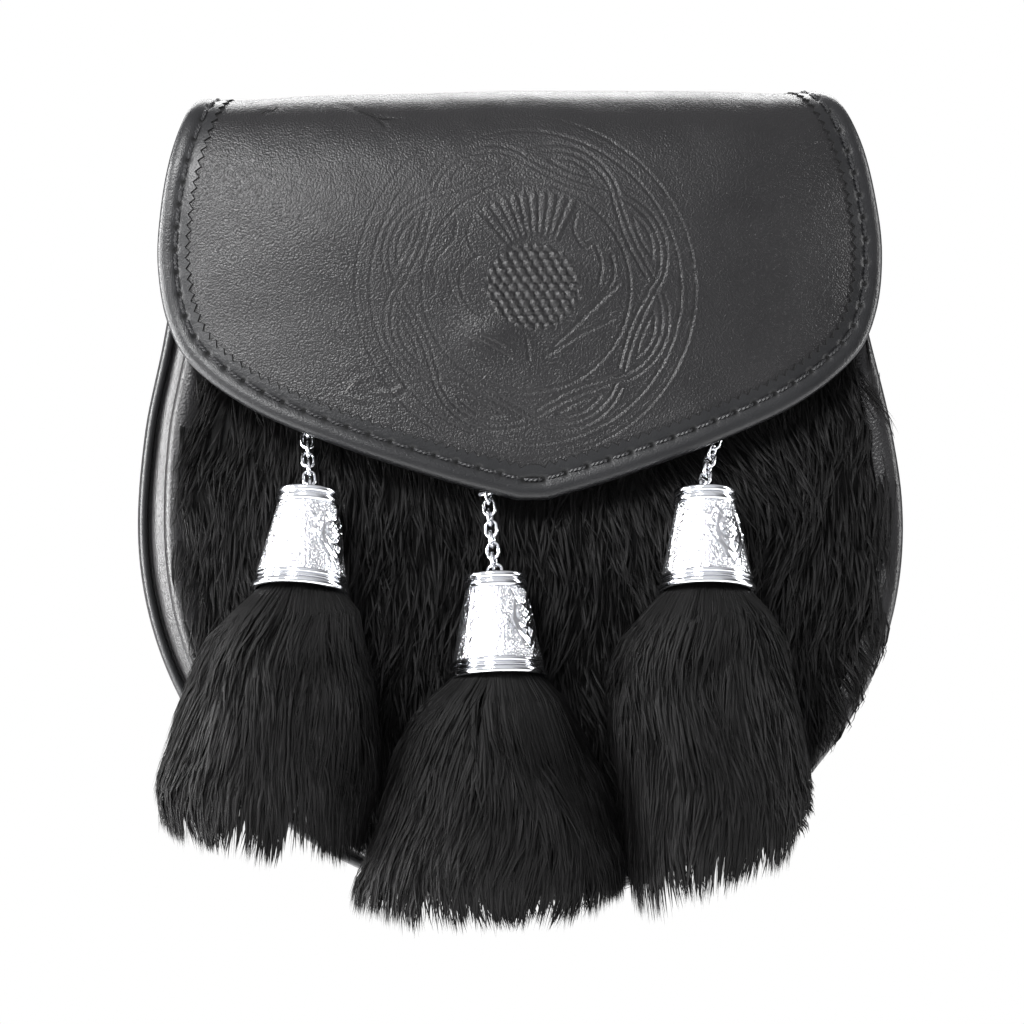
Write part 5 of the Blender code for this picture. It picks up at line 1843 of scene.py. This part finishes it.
class SPORRAN_OT_tassels(bpy.types.Operator):
    """Fur tassels: clumps of hair over a dark core, from the cone's mouth down"""

    bl_idname = "sporran.tassels"
    bl_label = "Tassel fur"

    def execute(self, context):
        finish = hair(context)
        sizes = context.scene.sporran_sizes
        count = sizes.tassel_hairs
        for number, (side, tassel) in enumerate(TASSELS.items()):
            rows = self.rows(side, tassel)
            self.core(context, side, rows)
            maker = np.random.default_rng(40 + number)
            points, out, tone = self.grown(rows, TASSEL_ENDS[side], count, maker)
            width, flat = wisps_and_hairs(sizes, count, WISP_SHARE, maker)
            hairs(f"Tassel_fur_{side}", points, width, flat, out, tone, finish, maker)
        return {"FINISHED"}

    def rows(self, side, tassel):
        """Middle x, half width, middle y and half depth against drop, in and below the cone."""
        top, down = cone_axis(tassel)
        rows = []
        for inside, radius in ((6.0, 8.6), (-0.4, 10.0)):
            centre = top + down * (CONE_HEIGHT - inside) * MM
            rows.append(
                ((FOLD_TOP - centre.z) / MM, centre.x / MM, radius, (centre.y - BACK_FACE) / MM, radius)
            )
        for drop, left, right, depth in TASSEL_ROWS[side]:
            back = min(float(fur_top(left + (right - left) * k / 6, drop)) for k in range(7)) - 0.4
            rows.append((drop, (left + right) / 2, (right - left) / 2, back - depth / 2, depth / 2))
        drop, x, wide, y, deep = rows[-1]
        rows.append((drop + 9.0, x, wide * 0.95, y, deep * 0.92))
        rows.append((drop + 18.0, x, wide * 0.86, y, deep * 0.8))
        return np.array(rows)

    def field(self, rows, turn, share, drop):
        """Points round the tassel at a share of its size."""
        place = np.interp(drop, rows[:, 0], np.arange(len(rows)))
        row = rows_at(rows, place)
        x = row[..., 1] + row[..., 2] * share * np.cos(turn)
        y = row[..., 3] - row[..., 4] * share * np.sin(turn)
        return world(x, y, drop + 0 * x)

    def core(self, context, side, rows):
        """What the hairs grow from, dark and lumpy, closed at both ends."""
        turn = np.linspace(0, math.tau, 49)[None]
        end = rows[-3, 0] - CORE_SHORT
        drops = np.linspace(rows[0, 0], end, 26)[:, None]
        share = CORE_SHARE + 0.035 * np.sin(turn * 9 + drops * 0.2)
        share = share - CORE_TAPER * ease((drops - end) / 14 + 1)
        points = [self.field(rows, turn, share, drops + 0 * turn)]
        for part, fall in ((0.6, 2.0), (0.42, 3.4), (0.18, 4.2)):
            points.append(self.field(rows, turn, part + 0 * turn, end + fall + 0 * turn))
        piece = laid_grid(f"Tassel_core_{side}", np.concatenate(points), round_way=True, filled=True)
        hand_in(piece, hair(context), [f"tassel_fur_{side}"])

    def grown(self, rows, ends, count, maker):
        """Points along each strand from root to tip, the way out of the tassel and its tone, with painted
        shade near the cone's mouth.
        """
        mouth, last = rows[1, 0], rows[-3, 0]
        depth = last - mouth
        start = mouth - 1.5 + depth * 0.84 * np.sort(maker.random(CLUMPS)) ** 1.15
        start[: CLUMPS // 6] = mouth - 3.0
        facing = maker.random(CLUMPS) < CLUMPS_IN_FRONT
        forward, any_way = maker.uniform(-0.35, math.pi + 0.35, CLUMPS), maker.uniform(0, math.tau, CLUMPS)
        turn = np.where(facing, forward, any_way)
        length = maker.uniform(*CLUMP_LENGTH, CLUMPS)
        top = maker.uniform(0.94, 1.02, CLUMPS)
        sway = 0.13 * np.sin(turn * 3.1 + start * 0.13) + maker.normal(0, 0.07, CLUMPS)
        tone = 0.45 + 0.22 * np.sin(turn * 5 + start * 0.21) + maker.normal(0, 0.24, CLUMPS)
        tone = np.clip(tone, 0, 1)
        short = maker.uniform(-0.4, 1.6, CLUMPS)
        pick = maker.integers(0, CLUMPS, count)
        steps = np.linspace(0, 1, 4)[None]
        row = rows_at(rows, np.interp(start[pick], rows[:, 0], np.arange(len(rows))))
        reach = np.maximum(row[:, 2], 8.0)
        jitter = maker.normal(0, 1.0, count)[:, None] * 2.2 / reach[:, None]
        gather = 1 - 0.42 * steps**1.2
        sweep = sway[pick][:, None] + maker.normal(0, 0.025, count)[:, None]
        angle = turn[pick][:, None] + jitter * gather + sweep * steps
        own = length[pick] * maker.uniform(0.75, 1.08, count)
        begin = start[pick] + np.abs(maker.normal(0, 1.8, count)) * (start[pick] > mouth)
        x = rows[-3, 1] + rows[-3, 2] * np.cos(angle[:, -1])
        wisp = np.arange(count) < count * WISP_SHARE
        end = column_at(ends, x) - short[pick] + maker.uniform(-2.3, 0.8, count) - 0.8 * wisp
        finish = np.maximum(np.minimum(begin + own, end), begin + 4.0)
        drop = begin[:, None] + (finish - begin)[:, None] * steps
        low = np.where(start[pick] > mouth, 0.84, 0.97)[:, None]
        rise = top[pick][:, None] - low + maker.normal(0, 0.014, count)[:, None]
        share = low + rise * np.sin(steps * 1.5)
        points = self.field(rows, angle, share, drop)
        out = np.stack([np.cos(angle), -np.sin(angle), 0.15 + 0 * angle], axis=-1)
        shade = np.clip(0.1 + 0.62 * tone[pick] ** 1.5 + maker.normal(0, 0.13, count), 0, 1)
        # Painted shade: strands that start near the cone's mouth are darkened, for the shadow under the cone
        shade = shade * (0.3 + 0.7 * ease((begin - mouth + 3.0) / 20.0))
        return points, out, shade


class SPORRAN_PT_panel(bpy.types.Panel):
    """Makes the sporran piece by piece"""

    bl_idname = "SPORRAN_PT_panel"
    bl_label = "Sporran"
    bl_space_type = "VIEW_3D"
    bl_region_type = "UI"
    bl_category = "Sporran"

    def draw(self, context):
        for group in (context.scene.sporran_sizes, context.scene.sporran_colours):
            for key in group.__annotations__:
                self.layout.prop(group, key)
        for operator in OPERATORS:
            self.layout.operator(operator.bl_idname)


OPERATORS = (
    SPORRAN_OT_stage,
    SPORRAN_OT_pouch,
    SPORRAN_OT_fur_front,
    SPORRAN_OT_flap,
    SPORRAN_OT_binding,
    SPORRAN_OT_belt_loops,
    SPORRAN_OT_chains,
    SPORRAN_OT_cones,
    SPORRAN_OT_tassels,
)
CLASSES = (SporranSizes, SporranColours, *OPERATORS, SPORRAN_PT_panel)


def register():
    for made in CLASSES:
        bpy.utils.register_class(made)
    bpy.types.Scene.sporran_sizes = PointerProperty(type=SporranSizes)
    bpy.types.Scene.sporran_colours = PointerProperty(type=SporranColours)


def unregister():
    del bpy.types.Scene.sporran_colours
    del bpy.types.Scene.sporran_sizes
    for made in reversed(CLASSES):
        bpy.utils.unregister_class(made)


def main():
    register()
    for step in (
        bpy.ops.sporran.stage,
        bpy.ops.sporran.pouch,
        bpy.ops.sporran.fur_front,
        bpy.ops.sporran.flap,
        bpy.ops.sporran.binding,
        bpy.ops.sporran.belt_loops,
        bpy.ops.sporran.chains,
        bpy.ops.sporran.cones,
        bpy.ops.sporran.tassels,
    ):
        step()


if __name__ == "__main__":
    main()
